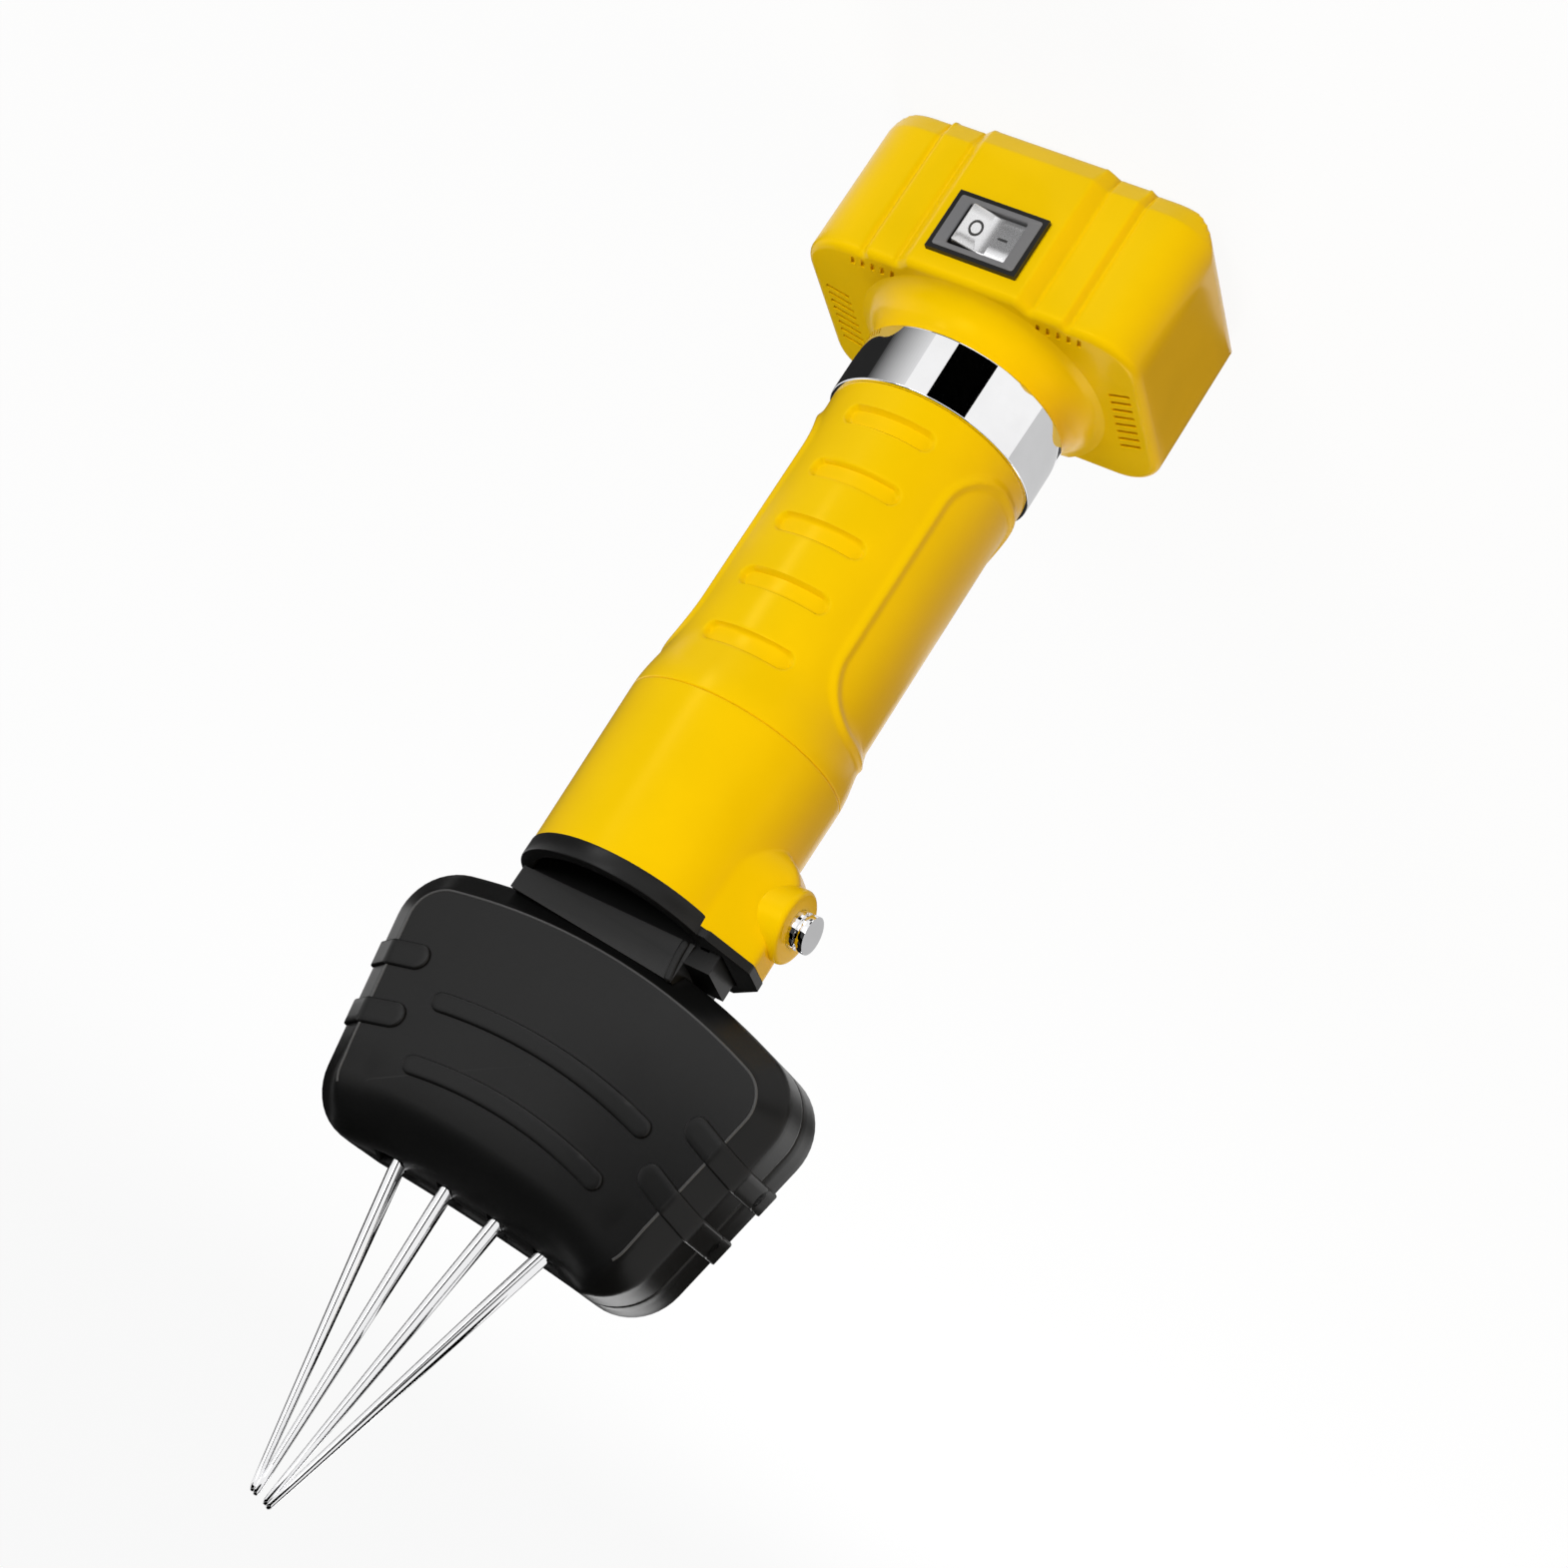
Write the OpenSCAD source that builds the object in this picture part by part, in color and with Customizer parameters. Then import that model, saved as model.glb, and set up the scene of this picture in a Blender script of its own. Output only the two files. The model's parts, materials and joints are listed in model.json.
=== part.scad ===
// Handheld cordless poultry plucker: battery foot, grip barrel, gear train and a head with two prong pairs.
// Millimetres. The tool stands on its battery foot, the prongs point up along +Z and the switch faces -Y.

/* [Battery foot] */
// Width of the foot
foot_w = 79; // [74:0.5:88]
// Main front face of the foot, forward of the handle axis
foot_front = 27; // [25:0.5:31]
// Rear face of the foot, behind the handle axis
foot_rear = 23.5; // [22:0.5:28]
// Height of the foot
foot_h = 38; // [36:0.5:46]
// Radius of the upright corners
foot_corner_r = 11; // [6:0.5:13]
// Radius of the end edges at the two sides
foot_end_r = 7; // [3:0.5:8]
// Wall of the moulded foot
foot_wall = 2.8; // [2:0.1:3.4]
// Width of the raised switch pad
pad_w = 26; // [24:0.5:30]
// Height of the switch pad above the front face
pad_out = 3.3; // [1:0.1:4]
// Width of the shoulder beside the pad
shoulder_w = 46; // [40:0.5:52]
// Height of the shoulder above the front face
shoulder_out = 1.7; // [0.5:0.1:3]
// Height of the sloped strip along the foot's front, at its end face
strip_h = 5.3; // [3:0.1:8]
// How far that strip slopes in
strip_in = 1.3; // [0.5:0.1:2.5]
// Height of the collar between the foot and the trim ring
collar_h = 8.6; // [6:0.2:12]
// Extra radius of the collar where it meets the foot
collar_flare = 6; // [3:0.5:8]
// Vent slots on each side of the foot
vent_count = 8; // [4:1:9]
// Width of one vent slot
vent_w = 1.2; // [0.8:0.1:1.6]
// Distance between vent slots
vent_pitch = 2.6; // [2:0.1:3]
// Length of one vent slot
vent_len = 5.5; // [3:0.5:6]

/* [Battery dock] */
// Width of the battery channel
channel_w = 54; // [46:0.5:58]
// Height of the battery channel
channel_h = 10; // [8:0.5:12]
// Thickness of the dock plate
dock_t = 2; // [1.5:0.1:3]
// Wall of the rails
rail_wall = 1.6; // [1.2:0.1:2.4]
// Reach of the rail lips under the battery
rail_lip = 3.2; // [2:0.1:4]
// Thickness of the rail lips
rail_lip_t = 2.5; // [1.5:0.1:3]
// Thickness of the bar that closes the channel at the front
front_bar = 4; // [3:0.2:6]
// Thickness of a contact blade
blade_t = 0.8; // [0.5:0.1:1.2]
// Distance between contact blades
blade_pitch = 8; // [6:0.5:10]

/* [Switch] */
// Width of the switch bezel
bezel_w = 21; // [20:0.5:23]
// Height of the switch bezel
bezel_h = 15; // [14:0.5:17]
// Thickness of the bezel
bezel_t = 1.3; // [0.8:0.1:2]
// Height of the switch centre above the foot's end face
switch_z = 25.9; // [22:0.1:28]
// Full rocking angle of the switch
rocker_swing = 20; // [12:1:24]

/* [Grip] */
// Radius of the grip barrel
grip_r = 22.5; // [22.2:0.1:24]
// Wall of the grip barrel
grip_wall = 2.7; // [2.2:0.1:3]
// Length of the grip barrel
grip_len = 77; // [72:0.5:90]
// Radius of the trim ring
trim_r = 23.5; // [22.9:0.1:25]
// Height of the trim ring
trim_h = 14.4; // [10:0.2:18]
// Largest radius of the flared gear housing
flare_r = 24.2; // [23.5:0.1:26]
// Length over which the barrel flares out
flare_len = 15; // [8:0.5:18]
// Number of thumb slots
slot_count = 5; // [3:1:5]
// Distance between thumb slots
slot_pitch = 13.8; // [10:0.2:14]
// Width of one thumb slot
slot_w = 20.5; // [14:0.5:24]
// Height of one thumb slot
slot_h = 4.2; // [3:0.1:6]
// Depth of the thumb slots
slot_depth = 1; // [0.5:0.1:1.4]
// Depth of the grip panels
panel_depth = 0.5; // [0.3:0.1:1]

/* [Motor] */
// Diameter of the motor can
motor_d = 35.8; // [34:0.1:36]
// Length of the motor with its end cap
motor_len = 57; // [52:0.5:60]
// Wall of the motor can
can_wall = 1.4; // [1:0.1:2]
// Diameter of the motor shaft
motor_shaft_d = 3.17; // [3:0.01:3.4]
// Diameter of the armature
armature_d = 24.8; // [20:0.1:25]

/* [Gears] */
// Tooth module of the planetary stage
planet_module = 0.6; // [0.58:0.01:0.61]
// Width of the gear teeth
gear_face = 8; // [6:0.2:9]
// Gap at each tooth flank
flank_gap = 0.08; // [0.05:0.01:0.12]
// Teeth on each transfer gear
transfer_teeth = 11; // [11:1:13]
// Diameter of the output and head shafts
shaft_d = 5; // [4:0.1:5.2]

/* [Gear housing] */
// Length of the gear housing
housing_len = 37.8; // [36:0.2:46]
// Radius of the gear housing at its open end
housing_end_r = 23.7; // [23.2:0.1:25]
// Inner radius of the gear housing
housing_in_r = 21; // [20.6:0.1:21.4]
// Reach of the lug from the handle axis
lug_reach = 30.5; // [29.5:0.1:34]
// Radius of the round boss
boss_r = 7.8; // [6.5:0.1:9]
// How far the boss stands out of the lug
boss_out = 1.7; // [0.8:0.1:4]
// Length of the lug along the handle, above the housing's open end
lug_len = 26.8; // [24:0.2:30]
// Thickness of the lug outside the ear's pocket
lug_wall = 5.5; // [5:0.1:7]
// Height of the nose ring
nose_h = 4.2; // [3:0.1:6]

/* [Lock button] */
// Diameter of the button
button_d = 8; // [6:0.1:9]
// How far the button stands out of the boss
button_out = 3.6; // [2.6:0.1:6]
// Travel of the button
button_travel = 4; // [3:0.1:4.2]
// Distance of the button below the housing's open end
button_drop = 9.4; // [8.6:0.1:11]

/* [Head] */
// Sideways place of the head's reference point
head_x = -4; // [-6:0.1:0]
// Place of the head's front face at its reference point
head_y = -4.5; // [-6:0.1:-3]
// Height of the head's reference point above the housing's open end
head_rise = 24.2; // [23:0.1:30]
// Backward lean of the head
head_lean = 8.2; // [0:0.1:9]
// Sideways lean of the head
head_roll = 5.1; // [0:0.1:6]
// Depth of the head
head_depth = 28; // [27:0.2:34]
// Depth of the front shell
parting_n = 14; // [13:0.2:15]
// Wall of the head shells
head_wall = 2.4; // [1.8:0.1:2.6]
// Width of the bevelled rim
head_bevel = 5; // [3:0.1:6]
// Half width of the head at its reference point
head_half_w = 48.2; // [46:0.1:54]
// How far each side draws in per unit of length towards the prongs
head_taper = 0.19; // [0.1:0.01:0.22]
// Distance from the reference point to the prong edge
head_low = 46; // [45:0.1:50]
// Distance from the reference point to the top of the arched edge
head_top = 16; // [15:0.1:17]
// Radius of the arched edge
arch_r = 144; // [110:1:200]
// Radius of the head's corners
head_corner_r = 12.5; // [10:0.1:14]
// Radius of the rolled lower front edge
roll_r = 15; // [12:0.1:18]
// Height of the raised ribs and tabs
rib_h = 0.6; // [0.3:0.1:1]
// Reach of the neck on the head's plain side
neck_left_u = 27.5; // [24:0.1:28]
// Reach of the neck on the lock button's side
neck_right_u = 13; // [12:0.1:15]

/* [Prongs] */
// Diameter of a prong at the head
prong_d = 3.6; // [3:0.1:4.2]
// Diameter of a prong at its tip
tip_d = 1.4; // [1:0.1:1.6]
// Distance from the reference point to the tips
tip_v = 113.4; // [100:0.2:125]
// Sideways place of an outer prong where it leaves the head
outer_u = 18.6; // [17.5:0.1:20]
// Sideways place of an inner prong where it leaves the head
inner_u = 6.4; // [5.5:0.1:7]
// Half distance between the two pairs at the tips
pair_u = 2; // [1.9:0.05:3]
// Clear gap between the two tips of a pair
tip_gap = 0.3; // [0.2:0.05:0.6]
// Depth of the prongs where they leave the head
exit_n = 10; // [9.6:0.1:10.6]
// Depth of the tips
tip_n = 4; // [2:0.1:8]
// Opening angle of a jaw
jaw_swing = 3.5; // [1:0.1:4]

/* [Fits] */
// Radial clearance of parts that turn or slide
run_gap = 0.05; // [0.02:0.01:0.09]
// Clearance of parts that are pushed together
seat_gap = 0.1; // [0.05:0.01:0.2]
// Clearance of parts that move past each other
pass_gap = 0.5; // [0.4:0.05:0.7]

/* [Hidden] */

$fn = 64;
eps = 0.05;
far = 200;
yellow = [0.94, 0.78, 0.04];
black = [0.09, 0.09, 0.09];
chrome = [0.86, 0.87, 0.88];
steel = [0.66, 0.67, 0.69];
brass = [0.8, 0.62, 0.28];
copper = [0.75, 0.42, 0.22];
graphite = [0.25, 0.25, 0.27];
nylon = [0.85, 0.85, 0.8];

// Heights along the handle
trim_z = foot_h + collar_h;
grip_z = trim_z + trim_h;
housing_z = grip_z + grip_len;
end_z = housing_z + housing_len;
nose_z = end_z + nose_h;

// Battery foot
pad_y = foot_front + pad_out;
shoulder_y = foot_front + shoulder_out;
step_slope = 0.8;
cavity_z = channel_h + dock_t;
channel_front = foot_front - front_bar;
spigot_len = 9;
spigot_r = grip_r - grip_wall - seat_gap;
spigot_wall = 2.6;
collar_r = trim_r - 0.7;
post_r = 3.6;
post_x = 20;
post_y = 14;
screw_d = 3;
screw_head_d = 5.6;
screw_head_h = 1.6;
post_screw_len = 14;
vent_x = foot_w / 2 - 7;
front_vent_count = 4;
front_vent_x = 20;
front_vent_y = 4.5;

// Contacts and switch
block_w = 30;
block_depth = 8;
block_h = 6;
blade_h = 4;
blade_len = 12;
tag_h = 3;
tag_d = 2.4;
switch_body_w = bezel_w - 2.2;
switch_body_h = bezel_h - 2.2;
switch_body_len = 13.3;
rocker_room_w = bezel_w - 4;
rocker_room_h = bezel_h - 3.6;
rocker_room_len = 8.3;
rocker_half = rocker_room_w / 2 - 0.9;
rocker_thick = rocker_room_h - 0.5;
rocker_axis = 1.7;
rocker_rise = 2.2;
rocker_v = rocker_half * tan(rocker_swing / 2);
rocker_heel = 0.2;
rocker_keel = 3.6;
rocker_keel_half = 4;
stub_r = 0.95;
stub_len = 0.6;
rocker_y = -pad_y + rocker_axis;
switch_back = -pad_y + switch_body_len;
spade_w = 4;
spade_t = 0.8;
spade_len = 5;
lead_d = 1.8;
lead_sides = 8;

// Motor, along the handle
motor_top = housing_z - 7;
motor_z = motor_top - motor_len;
cap_h = 6;
motor_r = motor_d / 2;
can_in_r = motor_r - can_wall;
can_z = motor_z + cap_h;
rib_len = 3;
rib_low_z = can_z + 6;
rib_high_z = motor_top - 13;
bush_r = 4;
bush_len = 3;
magnet_t = 3.4;
magnet_z = can_z + 7;
magnet_len = 36;
armature_z = can_z + 11;
armature_len = 27;
commutator_r = 4.5;
brush_len = 4;
brush_w = 4;
brush_gap = 0.1;
motor_tab_x = 10;
motor_tab_len = 4;
motor_bolt_x = 12.5;
motor_bolt_d = 3;

// Planetary stage: tooth counts that mesh with three planets
sun_teeth = 12;
planet_teeth = 18;
ring_teeth = sun_teeth + 2 * planet_teeth;
planet_count = 3;
planet_orbit = planet_module * (sun_teeth + planet_teeth) / 2;
ring_phase = -180 / ring_teeth;
ring_out_r = motor_r + 0.1;
back_plate_t = 2;
ring_z = motor_top;
teeth_z = ring_z + back_plate_t + 1.8;
carrier_z = teeth_z + gear_face + 0.4;
carrier_t = 3.5;
carrier_r = planet_orbit + 4;
planet_pin_r = 1.5;
ring_len = carrier_z - ring_z - 0.6;
cover_z = carrier_z + carrier_t + 0.8;
cover_t = 3;
transfer_z = cover_z + cover_t + 1.5;
transfer_face = 6;
plate_z = transfer_z + transfer_face + 1.5;
plate_t = 3;
plate_r = housing_in_r - seat_gap;
pillar_r = 2.8;
pillar_orbit = 16.5;
pillar_angles = [30, 140, 285];
shaft_r = shaft_d / 2;
bush_wall = 1.4;

// Head frame: u across, n towards the back, v towards the prongs
head_z = end_z + head_rise;
function lean(p) = [p[0], p[1] * cos(head_lean) + p[2] * sin(head_lean),
    p[2] * cos(head_lean) - p[1] * sin(head_lean)];
function roll(p) = [p[0] * cos(head_roll) + p[2] * sin(head_roll), p[1],
    p[2] * cos(head_roll) - p[0] * sin(head_roll)];
function in_tool(p) = [head_x, head_y, head_z] + lean(roll(p));

// Prong mechanism, in the head frame
mid_n = exit_n + 1.4;
jaw_n = exit_n - prong_d / 2 - 0.7;
jaw_t = mid_n + 2.7 - jaw_n;
socket_sides = 12;
socket_r = (prong_d / 2 + run_gap) / cos(180 / socket_sides);
pivot_u = 13;
pivot_v = 0;
pivot_r = 2;
pivot_boss_r = 5;
cam_v = 12;
cam_at = in_tool([0, mid_n, cam_v]);
cam_long = 4.6;
cam_short = 3.4;
cam_t = 6;
follower_u = cam_long + 1.1;
prong_v = head_low - 1;
jaw_low_v = head_low - head_wall - 3.1;
socket_len = 13.5;
socket_v = jaw_low_v - socket_len;
block_v = socket_v + 2;
frame_n = mid_n + 7;
frame_t = 2;
outer_tip_u = pair_u + (tip_d + tip_gap) / 2;
inner_tip_u = pair_u - (tip_d + tip_gap) / 2;
function prong_slope(exit_u, tip_u) = (exit_u - tip_u) / (tip_v - prong_v);
function prong_at(exit_u, tip_u, v) = [exit_u - (v - prong_v) * prong_slope(exit_u, tip_u),
    exit_n - (v - prong_v) * (exit_n - tip_n) / (tip_v - prong_v), v];
exit_swing = (prong_v - pivot_v) * tan(jaw_swing);
exit_room = prong_d / 2 + pass_gap;
neck_front_n = 0.8;
tongue_h = 8;
neck_back_n = head_depth - 6;
neck_v = -head_top + 3.4;
flange_half_w = 26;
neck_mid_n = 9;
neck_back_u = 18;
flange_n = head_wall + head_bevel + 0.6;
root_half_w = neck_right_u - 1;
ear_root = 16;
column_r = 3;
columns = [[36, 4], [31.7, head_low - 19]];
standoffs = [[24, -3], [18, 33]];
side_tab_v = [12.8, 25.6];
side_tab_u = [33.4, 31];
side_tab_w = 5.5;
face_tabs = [[35.5, 8.85], [32.7, 20.95]];
face_tab_len = 5.4;
face_tab_tilt = 14;
rib_v = [11.2, 24.6];
rib_half = [25.4, 23];
rib_w = 4.2;

// Lock button, along -X from the handle axis
button_z = end_z - button_drop;
lug_w_base = 13;
lug_w_tip = 4;
lug_low_z = end_z - lug_len;
boss_reach = lug_reach + boss_out;
button_reach = boss_reach + button_out;
lug_end_z = end_z + 2.2;
pocket_out = lug_reach - lug_wall;
pocket_depth = 8;
pocket_in = pocket_out - pocket_depth;
pocket_half = 6.5;
ear_t = 2.5;
ear_out = pocket_out - 0.6;
ear_half = 6;
collar_len = ear_t + 0.9;
collar_out = pocket_out - 0.1;
lock_collar_r = 4.5;
waist_r = 2.5;
waist_len = button_travel;
groove_w = 0.8;
groove_depth = 0.5;
spring_r = 3.6;
spring_wall = 0.9;
spring_len = 6;
spring_in = collar_out - collar_len;
seat_out = spring_in - spring_len + 1;
seat_depth = button_travel + 1.8;
seat_wall = 1.8;
seat_r = spring_r + 0.2;

// Transfer gears mesh between the handle axis and the head shaft
head_shaft_at = [cam_at[0], cam_at[1]];
transfer_distance = norm(head_shaft_at);
transfer_module = transfer_distance / transfer_teeth;
transfer_angle = atan2(head_shaft_at[1], head_shaft_at[0]);

// Turn of a gear at a bearing angle, so that its gap meets a tooth of a gear that has a tooth at angle 0
function mesh_turn(angle, teeth, driver_teeth) =
    angle + 180 - 360 / teeth * (0.5 - angle * driver_teeth / 360);

// Involute tooth outline with shortened teeth: one list of points for the whole gear
function involute_angle(base, r) = let (a = acos(min(1, base / r))) tan(a) * 180 / PI - a;
function gear_points(teeth, module_mm, gap, tip, root) = let (
    pitch = module_mm * teeth / 2,
    base = pitch * cos(20),
    top = pitch + tip * module_mm,
    bottom = pitch - root * module_mm,
    start = max(base, bottom),
    half = 90 / teeth - gap / pitch * 180 / PI + involute_angle(base, pitch),
    steps = 4,
    radii = [for (i = [0:steps]) start + (top - start) * i / steps],
    turns = [for (r = radii) half - involute_angle(base, r)])
    [for (k = [0:teeth - 1]) let (c = 360 * k / teeth) each concat(
        [bottom * [cos(c - turns[0]), sin(c - turns[0])]],
        [for (i = [0:steps]) radii[i] * [cos(c - turns[i]), sin(c - turns[i])]],
        [for (i = [steps:-1:0]) radii[i] * [cos(c + turns[i]), sin(c + turns[i])]],
        [bottom * [cos(c + turns[0]), sin(c + turns[0])]])];
tooth_tip = 0.8;
tooth_root = 1.05;

module in_head() {
    translate([head_x, head_y, head_z])
        rotate([-head_lean, 0, 0]) rotate([0, head_roll, 0]) children();
}

// A flat shape drawn as (u, v) and given depth from n0 to n1
module slab(n0, n1) {
    translate([0, n1, 0]) rotate([90, 0, 0]) linear_extrude(n1 - n0) children();
}

module tube(r_out, r_in, h) {
    difference() {
        cylinder(r = r_out, h = h);
        translate([0, 0, -eps]) cylinder(r = r_in, h = h + 2 * eps);
    }
}

module rod(from, to, r, sides) {
    d = to - from;
    translate(from) rotate([0, acos(d[2] / norm(d)), atan2(d[1], d[0])])
        cylinder(r = r, h = norm(d), $fn = sides);
}

module rounded_rect(x0, x1, y0, y1, r) {
    translate([x0 + r, y0]) square([x1 - x0 - 2 * r, y1 - y0]);
    translate([x0, y0 + r]) square([x1 - x0, y1 - y0 - 2 * r]);
    for (x = [x0 + r, x1 - r], y = [y0 + r, y1 - r]) translate([x, y]) circle(r);
}

// A screw along +Z: its head sits below z = 0 and its shank runs up
module screw(d, head_d, head_h, len) {
    cylinder(d = d, h = len);
    difference() {
        translate([0, 0, -head_h]) cylinder(d = head_d, h = head_h);
        translate([-head_d / 4, -head_h / 4, -head_h - eps]) cube([head_d / 2, head_h / 2, head_h / 2]);
        translate([-head_h / 4, -head_d / 4, -head_h - eps]) cube([head_h / 2, head_d / 2, head_h / 2]);
    }
}

module gear(teeth, module_mm, face, bore_r) {
    difference() {
        linear_extrude(face) polygon(gear_points(teeth, module_mm, flank_gap, tooth_tip, tooth_root));
        translate([0, 0, -eps]) cylinder(r = bore_r, h = face + 2 * eps);
    }
}

// Battery foot

module foot_outline(inset) {
    rounded_rect(-foot_w / 2 + inset, foot_w / 2 - inset, -foot_front + inset, foot_rear - inset,
        foot_corner_r - inset);
}

module foot_side_profile() {
    rotate([90, 0, 0]) linear_extrude(2 * far, center = true)
        rounded_rect(-foot_w / 2, foot_w / 2, 0, foot_h, foot_end_r);
}

// Side view of a block whose front face slopes in along its lower strip
module sloped_block(half_w, front) {
    translate([-half_w, 0, 0]) rotate([90, 0, 90]) linear_extrude(2 * half_w)
        polygon([[0, 0], [-front + strip_in, 0], [-front, strip_h], [-front, foot_h], [0, foot_h]]);
}

// Pad and shoulders: flat fronts with sloped sides between them
module front_steps() {
    pad = pad_w / 2;
    shoulder = shoulder_w / 2;
    steps = [[-shoulder - step_slope, -foot_front], [-shoulder, -shoulder_y],
        [-pad - pad_out, -shoulder_y], [-pad, -pad_y],
        [pad, -pad_y], [pad + pad_out, -shoulder_y], [shoulder, -shoulder_y],
            [shoulder + step_slope, -foot_front]];
    intersection() {
        linear_extrude(foot_h) polygon(concat(steps, [[shoulder, 0], [-shoulder, 0]]));
        union() {
            sloped_block(pad + pad_out / 2, pad_y);
            sloped_block(shoulder + step_slope, shoulder_y);
        }
    }
}

module foot_form() {
    intersection() {
        union() {
            intersection() {
                linear_extrude(foot_h) foot_outline(0);
                translate([0, foot_rear, 0]) sloped_block(foot_w, foot_front + foot_rear);
            }
            front_steps();
        }
        foot_side_profile();
    }
}

module collar_form() {
    arc = [for (a = [0:15:90]) [collar_r + collar_flare * (1 - sin(a)), foot_h + collar_h * (1 - cos(a))]];
    intersection() {
        rotate_extrude() polygon(concat([[0, foot_h]], arc, [[0, trim_z]]));
        translate([-far / 2, foot_rear - far, 0]) cube([far, far, far]);
    }
}

module post_places() {
    for (x = [-post_x, post_x], y = [-post_y, post_y]) translate([x, y, 0]) children();
}

module vent_cut() {
    z = foot_h - foot_wall - eps;
    for (side = [-1, 1], i = [0:vent_count - 1])
        translate([side * vent_x, (i - (vent_count - 1) / 2) * vent_pitch, z]) rotate([0, 0, -side * 20])
            translate([-vent_len / 2, -vent_w / 2, 0]) cube([vent_len, vent_w, foot_wall + 2 * eps]);
    for (side = [-1, 1], i = [0:front_vent_count - 1])
        translate([side * front_vent_x + (i - (front_vent_count - 1) / 2) * vent_pitch,
            -foot_front + front_vent_y, z]) translate([-vent_w / 2, -vent_len / 4, 0])
            cube([vent_w, vent_len / 2, foot_wall + 2 * eps]);
}

module base_housing() {
    color(yellow) {
        difference() {
            foot_form();
            translate([-channel_w / 2, -channel_front, -eps])
                cube([channel_w, channel_front + foot_rear + eps, cavity_z + eps]);
            translate([0, 0, cavity_z - eps]) linear_extrude(foot_h - foot_wall - cavity_z + eps)
                foot_outline(foot_wall);
            translate([0, 0, foot_h - foot_wall - eps]) cylinder(r = spigot_r + seat_gap, h = far);
            translate([-switch_body_w / 2 - seat_gap, -pad_y - eps,
                switch_z - switch_body_h / 2 - seat_gap])
                cube([switch_body_w + 2 * seat_gap, pad_y, switch_body_h + 2 * seat_gap]);
            vent_cut();
        }
        difference() {
            post_places() translate([0, 0, cavity_z])
                cylinder(r = post_r, h = foot_h - foot_wall - cavity_z + eps);
            post_places() translate([0, 0, cavity_z - eps])
                cylinder(d = screw_d + 2 * run_gap, h = post_screw_len - dock_t + 1);
        }
    }
}

// Collar that plugs into the foot and carries the grip on its long spigot
module grip_collar() {
    low_z = foot_h - foot_wall;
    top_z = grip_z + spigot_len;
    color(yellow) difference() {
        union() {
            collar_form();
            translate([0, 0, low_z]) cylinder(r = spigot_r, h = top_z - low_z);
        }
        translate([0, 0, low_z - eps]) cylinder(r = spigot_r - spigot_wall, h = top_z - low_z + 2 * eps);
        barrel_screw_places(grip_z + spigot_len / 2) cylinder(d = barrel_screw_d + 2 * run_gap, h = far);
    }
}

module dock_plate() {
    half = channel_w / 2 - seat_gap;
    y0 = -channel_front + seat_gap;
    len = channel_front + foot_rear - seat_gap;
    lip_z = rail_lip_t / 2;
    color(black) difference() {
        union() {
            translate([-half, y0, channel_h]) cube([2 * half, len, dock_t]);
            for (side = [0, 1]) mirror([side, 0, 0]) {
                translate([half - rail_wall, y0, lip_z]) cube([rail_wall, len, channel_h - lip_z + eps]);
                translate([half - rail_wall - rail_lip, y0, lip_z])
                    cube([rail_wall + rail_lip, len, rail_lip_t]);
            }
        }
        post_places() translate([0, 0, channel_h - eps])
            cylinder(d = screw_d + 2 * run_gap, h = dock_t + 2 * eps);
    }
}

module terminal_block() {
    color(graphite) translate([-block_w / 2, -channel_front + seat_gap, channel_h - block_h])
        cube([block_w, block_depth, block_h]);
}

module terminal_blades() {
    y0 = -channel_front + seat_gap + block_depth;
    color(brass) {
        for (x = [-blade_pitch, 0, blade_pitch])
            translate([x - blade_t / 2, y0, channel_h - block_h / 2 - blade_h / 2])
                cube([blade_t, blade_len, blade_h]);
        for (x = [-blade_pitch, blade_pitch]) translate([x, y0 - block_depth / 2, cavity_z])
            cylinder(d = tag_d, h = tag_h);
    }
}

module base_screws() {
    color(steel) post_places() translate([0, 0, channel_h])
        screw(screw_d, screw_head_d, screw_head_h, post_screw_len);
}

// Rocker switch

module switch_bezel() {
    color(black) difference() {
        union() {
            translate([-bezel_w / 2, -pad_y - bezel_t, switch_z - bezel_h / 2])
                cube([bezel_w, bezel_t, bezel_h]);
            translate([-switch_body_w / 2, -pad_y - eps, switch_z - switch_body_h / 2])
                cube([switch_body_w, switch_body_len + eps, switch_body_h]);
        }
        translate([-rocker_room_w / 2, -pad_y - bezel_t - eps, switch_z - rocker_room_h / 2])
            cube([rocker_room_w, bezel_t + rocker_room_len + eps, rocker_room_h]);
        translate([0, rocker_y, switch_z])
            cylinder(r = stub_r + run_gap, h = rocker_thick + 3 * stub_len, center = true);
    }
}

module switch_rocker() {
    outline = [[-rocker_half, -rocker_rise - rocker_v], [0, -rocker_rise],
        [rocker_half, -rocker_rise - rocker_v],
        [rocker_half, -rocker_heel], [rocker_keel_half, rocker_keel], [-rocker_keel_half, rocker_keel],
        [-rocker_half, -rocker_heel]];
    color(chrome) translate([0, rocker_y, switch_z]) rotate([0, 0, -rocker_swing / 2]) {
        linear_extrude(rocker_thick, center = true) polygon(outline);
        cylinder(r = stub_r, h = rocker_thick + 2 * stub_len, center = true);
    }
}

module switch_terminals() {
    color(brass) for (x = [-spade_w, spade_w])
        translate([x - spade_w / 2, switch_back, switch_z - spade_t / 2])
            cube([spade_w, spade_len, spade_t]);
}

// Leads: a chain of straight runs that lap at the corners, all inside the housings

module lead(points) {
    last = len(points) - 2;
    for (i = [0:last]) {
        d = points[i + 1] - points[i];
        lap = lead_d / 3 * d / norm(d);
        rod(points[i] - (i == 0 ? 0 : 1) * lap, points[i + 1] + (i == last ? 0 : 1) * lap, lead_d / 2,
            lead_sides);
    }
}

tag_y = -channel_front + seat_gap + block_depth / 2;
lead_up_y = -10;

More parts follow.
